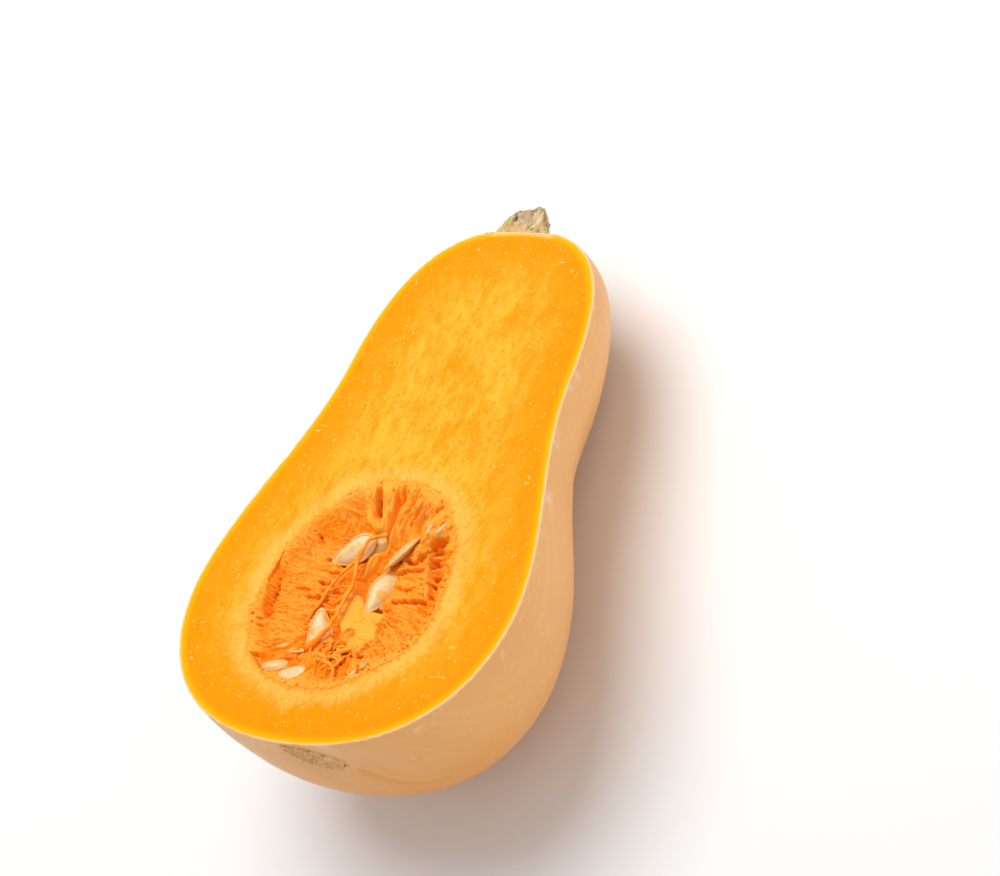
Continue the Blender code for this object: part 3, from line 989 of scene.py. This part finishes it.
def rimFibres(chance):
    # Short fibres all round that cross from the pulp onto the flesh, in true places
    strokes = []
    for i in range(felt["rimFibres"]):
        angle = 2 * math.pi * (i + chance.uniform(-0.5, 0.5)) / felt["rimFibres"]
        reach = hollowReach(angle)
        c, s = math.cos(angle), math.sin(angle)
        outside = chance.uniform(-1.2, 1.0)
        x, y = hollow["x"] + c * (reach + outside), hollow["y"] + s * (reach + outside)
        flowX, flowY = fibreFlow(x, y)
        turn = math.radians(chance.gauss(0.0, 14.0))
        c, s = math.cos(turn), math.sin(turn)
        flowX, flowY = flowX * c - flowY * s, flowX * s + flowY * c
        length = chance.uniform(1.2, 7.5)
        points = []
        for step in range(4):
            points.append((x, y, chance.uniform(0.7, 1.2)))
            x -= flowX * length / 3 + chance.uniform(-0.2, 0.2)
            y -= flowY * length / 3 + chance.uniform(-0.2, 0.2)
        strokes.append((
            points, chance.choice((0.25, 0.35, 0.5, 0.8)), chance.uniform(0.3, 1.5),
            chance.choice((0.0, 0.1, 0.4)), chance.uniform(0.6, 1.0)))
    return strokes


def middleFibres(chance):
    # A loose felt of fibres wherever the shelves leave the bed bare
    strokes = []
    for i in range(felt["middleFibres"]):
        x, y = chance.uniform(-24.0, 21.0), chance.uniform(20.0, 86.0)
        flowX, flowY = fibreFlow(x, y)
        heading = math.atan2(flowY, flowX) + math.radians(chance.gauss(0.0, 24.0))
        length = chance.uniform(3.0, 10.0)
        points = wander(chance, x, y, heading, length, 5, 0.6, 1.3, 12.0)
        strokes.append((
            points, chance.uniform(0.25, 0.75), chance.uniform(0.4, 1.5),
            chance.choice((0.0, 0.0, 0.25)), chance.uniform(0.45, 0.9)))
    return strokes


def heroThreads(chance):
    # Fine threads along each long fold
    threads = []
    for points, width, *rest in heroStrokes:
        (ax, ay), (bx, by) = points[0][:2], points[-1][:2]
        full = math.hypot(bx - ax, by - ay)
        for i in range(int(2 + 4 * width)):
            aside = chance.uniform(-1.0, 1.0) * width
            drift = chance.uniform(-0.5, 0.5)
            moved = []
            for j, point in enumerate(points):
                shift = aside + drift * j + chance.uniform(-0.15, 0.15)
                moved.append((point[0] + shift * (by - ay) / full, point[1] - shift * (bx - ax) / full))
            threads.append((
                moved, chance.uniform(0.18, 0.42), chance.uniform(0.25, 0.65), chance.uniform(-0.3, 0.45)))
    return threads


def rimPits(chance):
    # Small holes left between the fibres at the wall, more of them on the right
    pits = []
    for i in range(felt["rimPits"]):
        angle = chance.gauss(0.1, 0.75) if i % 2 else chance.uniform(-math.pi, math.pi)
        if 1.75 < angle % (2 * math.pi) < 2.75:      # none in the smooth pocket
            continue
        reach = hollowReach(angle) - chance.uniform(0.6, 4.2)
        c, s = math.cos(angle), math.sin(angle)
        x, y = hollow["x"] + c * reach, hollow["y"] + s * reach
        long = chance.uniform(0.3, 1.6)
        points = [(x, y), (x + c * long, y + s * long)]
        pits.append((points, chance.uniform(0.28, 0.62), chance.uniform(1.0, 2.8)))
    return pits


def bedField():
    # The grid's places, then the painted height over them
    cells = bed["cells"]
    steps = np.linspace(-1.0, 1.0, cells + 1)
    u, v = np.meshgrid(steps, steps)
    u, v = u.ravel(), v.ravel()
    discX, discY = u * np.sqrt(1 - v * v / 2), v * np.sqrt(1 - u * u / 2)
    x, y, base, inside = (np.zeros(len(u)) for _ in range(4))
    for i in range(len(u)):
        angle, share = math.atan2(discY[i], discX[i]), math.hypot(discX[i], discY[i])
        full = hollowReach(angle)
        reach = (full + bed["overlap"]) * share
        x[i], y[i] = hollow["x"] + reach * math.cos(angle), hollow["y"] + reach * math.sin(angle)
        base[i], inside[i] = dishHeight(x[i], y[i]), full - reach
    markX = x - bed["leanX"] * (base - bed["markLevel"])
    markY = y - bed["leanY"] * (base - bed["markLevel"])
    field = {"x": x, "y": y, "base": base, "inside": inside, "markX": markX, "markY": markY}
    for name in ("lift", "dip", "dark", "crest", "pale", "thread"):
        field[name] = np.zeros(len(x))
    field["tone"] = np.ones(len(x)) * 0.8
    return field


def paintBed(chance):
    field = bedField()
    x, y, inside = field["x"], field["y"], field["inside"]
    for stroke in middleFibres(chance) + leftLamellae(chance) + rightShelves(chance):
        paintStroke(field, *stroke)
    for stroke in rimFibres(chance):
        paintStroke(field, *stroke, marks=False)
    pocket = plateau(field["markX"], field["markY"], *bed["pocket"])
    wet = plateau(field["markX"], field["markY"], *bed["wet"])
    lump = softStep(-0.2, 0.9, insideShape(field, lumpCorners))
    calm = np.clip(pocket + 0.8 * wet + lump, 0.0, 1.0)
    field["lift"] *= 1 - calm
    field["crest"] *= 1 - calm
    for stroke in heroStrokes:
        paintStroke(field, *stroke, shaky=0.45, flat=0.6)
    for points, width, rise, pale in heroThreads(chance):
        paintStroke(field, points, width, rise, pale, 1.0, shaky=0.5, over=True)
    for points, width, rise, pale, tone in middleFibres(chance):
        paintStroke(field, points, 0.5 * width, 0.35 * rise, pale - 0.08, 1.25, shaky=0.4, over=True)
    # Carved creases and the wall's pits also get painted shade that darkens their colour
    for points, width, depth, holeShade in carvedStrokes:
        paintStroke(field, points, width, depth, carveShade=holeShade, shaky=0.8)
    for points, width, depth in rimPits(chance):
        paintStroke(field, points, width, depth, marks=False, carveShade=0.3 * depth, shaky=0.5)
    lift, dip, crest = field["lift"], field["dip"], field["crest"]
    fine, coarse = (np.array([
        noise.noise(Vector((a / size, b / size, depth))) for a, b in zip(x, y)])
        for size, depth in ((0.75, 3.0), (5.5, 9.0)))
    lift += 1.7 * lump * (1 - crest) + 0.14 * calm * fine
    lift += wet * (0.9 * np.maximum(coarse, 0.0) + 0.25 * np.abs(fine)) + 0.22 * pocket * fine
    dip = np.where(lump > 0.5, dip * 0.4, dip)
    hollowed = dip + 1.8 * pocket * (1 - crest)
    lowLeft = plateau(x, y, *bed["lowLeft"], 2)
    height = field["base"] + 0.9 - 1.2 * lowLeft + lift - hollowed + 0.7 * coarse + 0.16 * fine
    # At the wall it climbs level with the cut, and lies raggedly over the flesh's edge
    wave = np.array([cutSurface(a, b) for a, b in zip(x, y)])
    atRim = softStep(5.5, 0.0, inside)
    ragged = 0.14 + 0.35 * fine + 0.30 * np.clip(lift, 0.0, 1.2) - 0.7 * np.clip(dip, 0.0, 2.2)
    rimHeight = wave + ragged - 0.9 * softStep(-0.05, -1.2, inside)
    height = height * (1 - atRim) + rimHeight * atRim
    for sx, sy, reachX, reachY, level in bed["collars"]:
        near = plateau(x, y, sx, sy, reachX, reachY)
        height = height * (1 - near) + (wave + level + 0.3 * fine + 0.25 * crest - 0.5 * dip) * near
    height = np.where(inside > 0.6, np.minimum(height, 0.10 + 0.2 * fine), height)
    for place, reachX, reachY, under in bed["seats"]:
        sx, sy, sz, heading = seedLayout[place - 1][:4]
        c, s = math.cos(math.radians(heading)), math.sin(math.radians(heading))
        alongSeed, acrossSeed = (x - sx) * c + (y - sy) * s, (y - sy) * c - (x - sx) * s
        near = plateau(alongSeed, acrossSeed, 0.0, 0.0, reachX, reachY, 6)
        height = np.where(height > sz - under, height * (1 - near) + (sz - under) * near, height)
    # Painted shade: the colour level runs dark in valleys and carved dips, and light on crests, threads and
    # near the wall
    carved = np.clip(field["dark"], 0.0, 1.0)
    tone = (0.46 + 0.54 * crest) * field["tone"]
    tone = np.where(calm > 0.3, np.maximum(tone, 0.70 * pocket + 0.52 * wet + 0.95 * lump), tone)
    tone = np.clip(tone + field["thread"] + 0.15 * fine + 0.12 * atRim - 0.9 * carved, 0.0, 1.0)
    edgePale = softStep(1.6, -0.4, inside)
    pale = np.clip(field["pale"] + 0.9 * lump * (1 - crest) + 0.25 * pocket + 0.4 * edgePale, 0.0, 1.0)
    field["height"], field["shade"], field["paleness"] = height, tone, pale
    field["gloss"] = np.clip(wet + 0.3 * pocket, 0.0, 1.0)
    return field


def makeBed(pulp, field):
    bm = bmesh.new()
    layers = {name: bm.verts.layers.float.new(name) for name in ("ridge", "pale", "gloss")}
    cells = bed["cells"]
    bmesh.ops.create_grid(bm, x_segments=cells, y_segments=cells, size=1.0)
    rimEdges = [e for e in bm.edges if e.is_boundary]
    for vert in bm.verts:
        place = round((vert.co.y + 1) / 2 * cells) * (cells + 1) + round((vert.co.x + 1) / 2 * cells)
        vert.co = (field["x"][place], field["y"][place], field["height"][place])
        # ridge holds the painted shade level
        vert[layers["ridge"]] = field["shade"][place]
        vert[layers["pale"]] = field["paleness"][place]
        vert[layers["gloss"]] = field["gloss"][place]
    for drop, shrink in bed["skirt"]:
        grown = bmesh.ops.extrude_edge_only(bm, edges=rimEdges)["geom"]
        rimEdges = [g for g in grown if isinstance(g, bmesh.types.BMEdge)]
        for vert in {v for e in rimEdges for v in e.verts}:
            dx, dy = vert.co.x - hollow["x"], vert.co.y - hollow["y"]
            reach = hollowReach(math.atan2(dy, dx)) * shrink / math.hypot(dx, dy)
            vert.co = (hollow["x"] + dx * reach, hollow["y"] + dy * reach, -drop)
    bmesh.ops.contextual_create(bm, geom=rimEdges)
    bmesh.ops.recalc_face_normals(bm, faces=bm.faces)
    return piece("pulpBed", bm, [pulp], ("pulp",), 0)


# Strands that hang free of the bed

def makeStrands(name, routes, pulp, tone, paleness, sides=3):
    # Each route is a list of (x, y, z, radius) marks; every strand is one smooth spline
    curve = bpy.data.curves.new(name, "CURVE")
    curve.dimensions = "3D"
    curve.bevel_depth = 1.0
    curve.bevel_resolution = sides
    curve.use_fill_caps = True
    curve.resolution_u = 6
    for route in routes:
        spline = curve.splines.new("NURBS")
        spline.points.add(len(route) - 1)
        spline.order_u = 4
        spline.use_endpoint_u = True
        for point, (x, y, z, radius) in zip(spline.points, route):
            point.co = (*sink(x, y, z), z, 1.0)
            point.radius = radius
    holder = addObject(name + "Curve", curve)
    mesh = bpy.data.meshes.new_from_object(holder.evaluated_get(bpy.context.evaluated_depsgraph_get()))
    bpy.data.objects.remove(holder, do_unlink=True)
    bm = bmesh.new()
    bm.from_mesh(mesh)
    bmesh.ops.remove_doubles(bm, verts=bm.verts, dist=0.002)
    layers = {key: bm.verts.layers.float.new(key) for key in ("ridge", "pale", "gloss")}
    for vert in bm.verts:
        x, y, z = vert.co
        # ridge: the strand's painted shade level, as on the bed
        vert[layers["ridge"]] = min(max(tone + 0.5 * wobble(x, y, z, 3.0), 0.0), 1.0)
        vert[layers["pale"]] = min(max(paleness + 0.5 * wobble(x, y, z, 6.0), 0.0), 1.0)
        vert[layers["gloss"]] = 0.4
        shake = Vector((wobble(x, y, z, 1.3), wobble(y, z, x, 1.3), wobble(z, x, y, 1.3)))
        vert.co += shake * 0.26
    bmesh.ops.recalc_face_normals(bm, faces=bm.faces)
    return piece(name, bm, [pulp], (), 0)


def bottomTangle(chance):
    # Loops of loose strand near the blossom end
    routes = []
    for i in range(felt["loops"]):
        cx, cy = 0.2 + chance.uniform(-8.0, 6.0), 28.6 + chance.uniform(-5.0, 5.0)
        radius = chance.uniform(1.8, 4.8)
        thick = chance.uniform(0.35, 0.75)
        start = chance.uniform(0, 2 * math.pi)
        span = chance.uniform(1.2, 3.4)
        level = dishHeight(*sink(cx, cy, -4.0)) + chance.uniform(0.2, 1.2)
        route = []
        for step in range(8):
            angle = start + span * step / 7
            x, y = cx + radius * math.cos(angle) * 1.25, cy + radius * math.sin(angle)
            z = level + 1.5 * math.sin(math.pi * step / 7)
            route.append((x, y, min(z, -0.6), thick if 0 < step < 7 else 1.3 * thick))
        routes.append(route)
    return routes


# Marks on the cut's level, the depth each point hangs at, and the radius there
looseRoutes = [
    [(-0.2, 71.6, -3.2, 0.9), (-2.6, 71.2, -2.4, 0.5), (-5.4, 70.4, -2.0, 0.45), (-6.6, 68.4, -2.0, 0.5),
     (-6.6, 65.6, -2.2, 0.75), (-7.0, 62.7, -2.6, 0.95), (-6.2, 60.4, -3.0, 0.55), (-5.3, 58.3, -3.4, 0.45),
     (-4.6, 54.6, -3.8, 0.5), (-4.4, 52.0, -4.2, 0.6), (-5.1, 48.1, -4.2, 0.55), (-5.2, 43.6, -3.8, 0.6),
     (-6.2, 38.5, -3.4, 0.65), (-8.4, 34.6, -4.0, 0.8), (-10.0, 32.0, -5.4, 1.6)],
    [(-7.2, 62.4, -2.8, 0.55), (-8.9, 59.6, -3.4, 0.45), (-10.8, 56.4, -4.2, 0.4), (-12.6, 51.8, -5.0, 0.5),
     (-12.8, 46.6, -5.0, 0.5), (-14.6, 43.4, -5.2, 0.4), (-14.4, 39.4, -5.8, 0.35)],
    [(-4.4, 53.4, -4.0, 0.5), (-7.4, 53.8, -4.0, 0.4), (-10.2, 53.0, -4.6, 0.4), (-12.0, 51.0, -5.6, 0.5)],
    [(-4.4, 52.0, -4.2, 0.45), (-6.2, 49.4, -4.8, 0.35), (-8.4, 46.6, -5.6, 0.45)],
    [(-5.0, 46.0, -4.2, 0.4), (-8.0, 44.6, -4.6, 0.35), (-11.6, 45.0, -5.4, 0.5)],
]


# Seeds, each within 4 mm of its own node: x, y, z, then heading of the tip, pitch and roll in
# degrees, how much wet pulp clings to it, how brown it is, and its size beside a whole one
seedLayout = [
    (-11.2, 66.3, -4.7, 210, 6, -28, 0.35, 0.05, 1.0),
    (-6.6, 68.6, -6.9, 214, 4, -26, 0.25, 0.80, 0.80),
    (6.1, 67.3, -4.9, 244, -6, 38, 0.25, 0.70, 0.94),
    (3.6, 55.0, -6.9, 261, -6, -28, 0.45, 0.10, 1.0),
    (-10.6, 39.2, -5.6, 104, -8, 24, 0.50, 0.15, 1.0),
    (-18.2, 33.2, -5.6, 182, 0, 40, 0.45, 0.55, 0.9),
    (-19.0, 25.3, -2.8, 190, 0, 16, 0.45, 0.45, 0.64),
    (-9.3, 22.5, -1.0, 195, 0, -6, 0.20, 0.10, 0.64),
    (15.9, 72.9, -1.8, -10, 80, 0, 0.35, 0.45, 0.56),
    (20.4, 73.9, -1.9, -28, 76, 0, 0.25, 0.25, 0.74),
    (11.8, 23.8, 2.2, -31, 82, 0, 0.35, 0.50, 0.85),
    (14.2, 27.4, 4.6, -31, 82, 0, 0.35, 0.50, 0.85),
]
seedShape = {
    "length": 15.5, "width": 8.8, "thickness": 2.7, "taper": 0.50, "rimStart": 0.84,
    "cutThickness": 1.15, "firstCut": 8, "firstUpright": 9,
}


def makeSeed(number, place, coat, kernel):
    shape = seedShape
    bm = bmesh.new()
    edgeLayer = bm.verts.layers.float.new("seedEdge")
    filmLayer = bm.verts.layers.float.new("film")
    brownLayer = bm.verts.layers.float.new("browned")
    x, y, z, heading, pitch, roll, film, browned, size = place
    thickness = shape["cutThickness"] if number >= shape["firstUpright"] else shape["thickness"]
    bmesh.ops.create_uvsphere(bm, u_segments=44, v_segments=30, radius=1.0)
    for vert in bm.verts:
        ring = math.hypot(vert.co.x, vert.co.y)      # 0 in the middle of a face, 1 at the edge
        side = math.copysign(1.0, vert.co.z) if abs(vert.co.z) > 0.001 else 0.0
        narrow = 1 - shape["taper"] * ((vert.co.x + 1) / 2) ** 1.6
        if number >= shape["firstCut"]:
            cushion, rimRoll = math.sqrt(max(1 - ring * ring, 0.0)), 0.0
        else:
            cushion = max(1 - (ring / shape["rimStart"]) ** 2.4, 0.0) ** 0.6
            rimRoll = math.exp(-((ring - 0.93) / 0.05) ** 2) * 0.30
        thick = thickness / 2 * max(cushion * 0.98, rimRoll, 0.26 * math.sqrt(max(1 - ring * ring, 0.0)))
        dent = 0.09 * wobble(vert.co.x * 3, vert.co.y * 3, number * 5.0, 0.8)
        sideways = 0.35 * math.sin(2.4 * vert.co.x + number)
        px, py = vert.co.x * size * shape["length"] / 2, vert.co.y * size * shape["width"] / 2 * narrow
        vert.co = (px, py + sideways, side * (thick + dent * cushion) + 0.12 * math.sin(px * 0.4 + number))
        vert[edgeLayer] = ring
        vert[filmLayer] = film
        vert[brownLayer] = browned
    turn = Euler((math.radians(roll), math.radians(pitch), math.radians(heading))).to_matrix().to_4x4()
    bmesh.ops.transform(bm, matrix=Matrix.Translation((x, y, z)) @ turn, verts=bm.verts)
    cutAll = bm.verts[:] + bm.edges[:] + bm.faces[:]
    bmesh.ops.bisect_plane(bm, geom=cutAll, plane_co=(0, 0, -0.05), plane_no=(0, 0, 1), clear_outer=True)
    openEdges = [e for e in bm.edges if e.is_boundary]
    if openEdges:
        filled = bmesh.ops.contextual_create(bm, geom=openEdges)["faces"]
        inner = bmesh.ops.inset_region(bm, faces=filled, thickness=0.28, use_even_offset=True)["faces"]
        for face in filled:
            face.material_index = 1
        print("seed", number, "is cut,", len(inner), "rim faces")
    bmesh.ops.recalc_face_normals(bm, faces=bm.faces)
    name = f"seed{number:02d}"
    return piece(name, bm, [coat, kernel], (f"seed_{number:02d}",), 35.0)


# Stem stub and blossom scar

stub = {
    "rows": 60, "cutColumns": 60, "backColumns": 90,
    "x": -1.1, "lean": -1.0, "base": 11.4, "top": 5.4, "height": 9.5, "seatGap": 0.1,
    "ridges": 5, "ridgeDepth": 0.09, "thinBack": 0.34,
    # places on the sliced face: x from the stub's middle, rise, reach across, reach up
    "grey": [(0.4, 0.72, 3.2, 0.24), (-3.4, 0.60, 1.4, 0.16)],
    "tan": [(-0.8, 0.10, 4.6, 0.20), (-5.4, 0.28, 2.2, 0.12), (7.4, 0.10, 1.6, 0.20)],
    "green": [(-8.8, 0.14, 2.2, 0.16), (-7.2, 0.52, 1.6, 0.24), (3.6, 0.20, 1.5, 0.16)],
    "pit": [(3.2, 0.22, 0.95, 0.08), (6.4, 0.14, 0.80, 0.10), (-4.8, 0.64, 0.35, 0.13)],
}


def stubRadius(share, side):
    # The left shoulder is full, the right one falls away faster
    share = min(max(share, 0.0), 1.0)
    fall = 1 - share ** 2.2 if side < 0 else (1 - share) ** 1.9
    return stub["top"] + (stub["base"] - stub["top"]) * fall


def makeStem(cork):
    start = fruit["length"] - fruit["seatDrop"] + stub["seatGap"]
    foot = [(stub["base"] * i / 8, start) for i in range(8)]
    wall = [
        (stubRadius(i / stub["rows"], -1), start + stub["height"] * i / stub["rows"])
        for i in range(stub["rows"] + 1)]
    top = [(wall[-1][0] * (1 - i / 14), start + stub["height"]) for i in range(1, 15)]
    bm = halfTurned(foot + wall + top, stub["cutColumns"], stub["backColumns"], 0.3)
    layers = {name: bm.verts.layers.float.new(name) for name in ("grey", "tan", "green", "pit")}
    offset = fruit["cutOffset"]
    for vert in bm.verts:
        x, y, z = vert.co
        rise = (y - start) / stub["height"]
        angle = math.atan2(x, -(z + offset))
        away = math.hypot(x, z + offset)
        for name, layer in layers.items():
            vert[layer] = min(sum(hill(x, rise, *spot) for spot in stub[name]), 1.0)
        ridge = 0.5 + 0.5 * math.cos(stub["ridges"] * angle + 0.6)
        thin = 1 - stub["thinBack"] * smoothStep(0.0, 9.0, -z) * smoothStep(0.0, 0.35, rise)
        ribbed = smoothStep(0.05, 0.3, rise) * smoothStep(2.0, 6.0, away)
        squeeze = thin - stub["ridgeDepth"] * (1 - ridge) * ribbed
        rightward = smoothStep(-0.6, 0.6, x / max(away, 0.001))
        squeeze *= 1 + (stubRadius(rise, 1) / stubRadius(rise, -1) - 1) * rightward
        x, z = x * squeeze, (z + offset) * squeeze - offset
        torn = 2.0 * hill(x, z, 2.7, -1.5, 1.8, 3.0) + 0.9 * hill(x, z, -4.4, -1.0, 1.3, 3.0)
        torn += 0.7 * wobble(x * 1.4, 3.0, z, 1.7) + 0.5 * wobble(x, 8.0, z, 0.7) - 0.4
        y += torn * smoothStep(0.55, 1.0, rise)
        front = smoothStep(-0.8, -0.05, z)
        pits = 1.3 * max(0.0, wobble(x * 1.5, y, 2.0, 1.9) - 0.05) + 0.5 * wobble(x, y * 0.4, 6.0, 0.6)
        pits += 1.5 * vert[layers["pit"]] + 0.7 * vert[layers["grey"]]
        groove = hill(x + 0.55 * (1 - rise) * 4.0, rise, -3.2, 0.5, 0.7, 0.55)
        z -= front * (0.30 + (pits + 0.9 * groove) * smoothStep(0.0, 0.25, rise))
        rough = 0.30 * wobble(x * 1.6, y * 0.6, z * 1.6, 1.3)
        away = max(math.hypot(x, z + offset), 0.001)
        x += x / away * rough * smoothStep(0.0, 0.15, rise) + stub["x"] + stub["lean"] * rise
        vert.co = (x, y, min(z, -0.05))
    bmesh.ops.recalc_face_normals(bm, faces=bm.faces)
    for face in bm.faces:
        face.material_index = 0
    return piece("stemStub", bm, [cork], ("stem",), 60.0)


scar = {
    "x": 3.8, "z": -10.1, "halfX": 10.3, "halfZ": 4.9, "turn": -26.0, "cells": 110,
    "searchTo": 30.0, "halvings": 26,      # blossomSurface looks for the skin this far up the fruit
}


def blossomSurface(x, z):
    # y of the skin at the blossom end, where the fruit is nearly flat
    radius = math.hypot(x, z + fruit["cutOffset"])
    low, high = 0.0, scar["searchTo"]
    for step in range(scar["halvings"]):
        middle = (low + high) / 2
        if math.hypot(halfWidth(middle), fruit["cutOffset"]) < radius:
            low = middle
        else:
            high = middle
    y = (low + high) / 2
    return y - skinPush(x, y, z) * smoothStep(0.0, 12.0, -z) + blossomDimple(x, z)


def makeScar(cork):
    bm = bmesh.new()
    bmesh.ops.create_grid(bm, x_segments=scar["cells"], y_segments=scar["cells"] // 2, size=1.0)
    c, s = math.cos(math.radians(scar["turn"])), math.sin(math.radians(scar["turn"]))
    edge = bm.verts.layers.float.new("scarEdge")
    for vert in bm.verts:
        u, v = vert.co.x, vert.co.y
        discU, discV = u * math.sqrt(1 - v * v / 2), v * math.sqrt(1 - u * u / 2)
        share = math.hypot(discU, discV)
        vert[edge] = share + 0.12 * wobble(discU * 9, discV * 9, 5.0, 1.0)
        ragged = 1 + 0.16 * wobble(discU * 3, discV * 3, 2.0, 0.8) * share
        px, pz = discU * scar["halfX"] * ragged, discV * scar["halfZ"] * ragged
        x, z = scar["x"] + px * c - pz * s, scar["z"] + px * s + pz * c
        crust = 0.05 + 0.30 * abs(wobble(x, 0.0, z, 0.8)) + 0.22 * wobble(x, 4.0, z, 0.35)
        hole = 0.7 * max(0.0, wobble(x, 9.0, z, 0.7) - 0.30)
        raised = 0.03 + (crust - hole) * smoothStep(1.0, 0.70, share) - 0.75 * smoothStep(0.84, 1.0, share)
        vert.co = (x, blossomSurface(x, z) - raised, z)
    bmesh.ops.recalc_face_normals(bm, faces=bm.faces)
    bmesh.ops.solidify(bm, geom=bm.faces[:], thickness=0.6)
    bmesh.ops.recalc_face_normals(bm, faces=bm.faces)
    return piece("blossomScar", bm, [cork], (), 60.0)


# Floor, light and camera

camera = {
    "lens": 163.6, "sensor": 36.0, "distance": 1.304,
    "right": (0.7941, 0.3802, -0.4743),
    "up": (-0.0563, 0.8229, 0.5654),
    "towards": (0.6052, -0.4222, 0.6748),
    "shiftRight": -0.02663, "shiftUp": -0.01185,
}


def makeCamera():
    # The view is held as three directions in the squash's frame, then carried into the row's
    turn = toRow.to_3x3().normalized()
    right, up, towards = (turn @ Vector(camera[k]) for k in ("right", "up", "towards"))
    middle = toRow @ Vector((0.0, fruit["length"] / 2, 0.0))
    place = middle - right * camera["shiftRight"] - up * camera["shiftUp"] + towards * camera["distance"]
    data = bpy.data.cameras.new("camera")
    data.lens = camera["lens"]
    data.sensor_width = camera["sensor"]
    data.clip_end = 20.0
    made = addObject("camera", data)
    axes = Matrix((right, up, towards)).transposed()
    made.matrix_world = Matrix.Translation(place) @ axes.to_4x4()
    bpy.context.scene.camera = made
    return right, up, towards, middle


def areaLight(name, place, aim, size, power):
    data = bpy.data.lights.new(name, "AREA")
    data.shape = "DISK"
    data.size = size
    data.energy = power
    made = addObject(name, data)
    made.location = place
    made.rotation_euler = (aim - place).to_track_quat("-Z", "Y").to_euler()


# Each lamp: its place from the squash's middle along right, up and towards, its size and its power
studio = {
    "world": 0.50, "floorHalf": 4.0,
    "lamps": {"keyLight": ((-0.55, 0.75, 0.55), 0.9, 10.4), "fillLight": ((0.95, -0.35, 0.75), 1.2, 3.6)},
}


def makeStudio(floor):
    right, up, towards, middle = makeCamera()
    bm = bmesh.new()
    bmesh.ops.create_grid(bm, x_segments=1, y_segments=1, size=studio["floorHalf"])
    mesh = bpy.data.meshes.new("floor")
    bm.to_mesh(mesh)
    bm.free()
    mesh.materials.append(floor)
    ground = addObject("floor", mesh)
    world = bpy.data.worlds.new("studio")
    world.use_nodes = True
    sky = world.node_tree.nodes["Background"]
    sky.inputs["Color"].default_value = (1.0, 1.0, 1.0, 1.0)
    sky.inputs["Strength"].default_value = studio["world"]
    bpy.context.scene.world = world
    for name, ((across, rise, near), size, power) in studio["lamps"].items():
        areaLight(name, middle + (right * across + up * rise + towards * near), middle, size, power)
    bpy.context.scene.view_settings.view_transform = "Standard"


def main():
    flesh, rind = makeFlesh(), makeRind()
    pulp = makePulp()
    coat, kernel = makeSeedCoat(), makeKernel()
    stemCork, scarCork = makeStemCork(), makeScarCork()
    print("materials made")
    makeStudio(makeFloor())
    makeBody(flesh, rind)
    print("flesh and rind made")
    chance = random.Random(11)
    makeBed(pulp, paintBed(chance))
    makeStrands("bottomTangle", bottomTangle(chance), pulp, 0.80, 0.12)
    makeStrands("looseStrands", looseRoutes, pulp, 0.75, 0.10, 4)
    print("pulp made")
    for number, place in enumerate(seedLayout, start=1):
        makeSeed(number, place, coat, kernel)
    print("seeds made")
    makeStem(stemCork)
    makeScar(scarCork)
    print("stem and blossom scar made")


main()
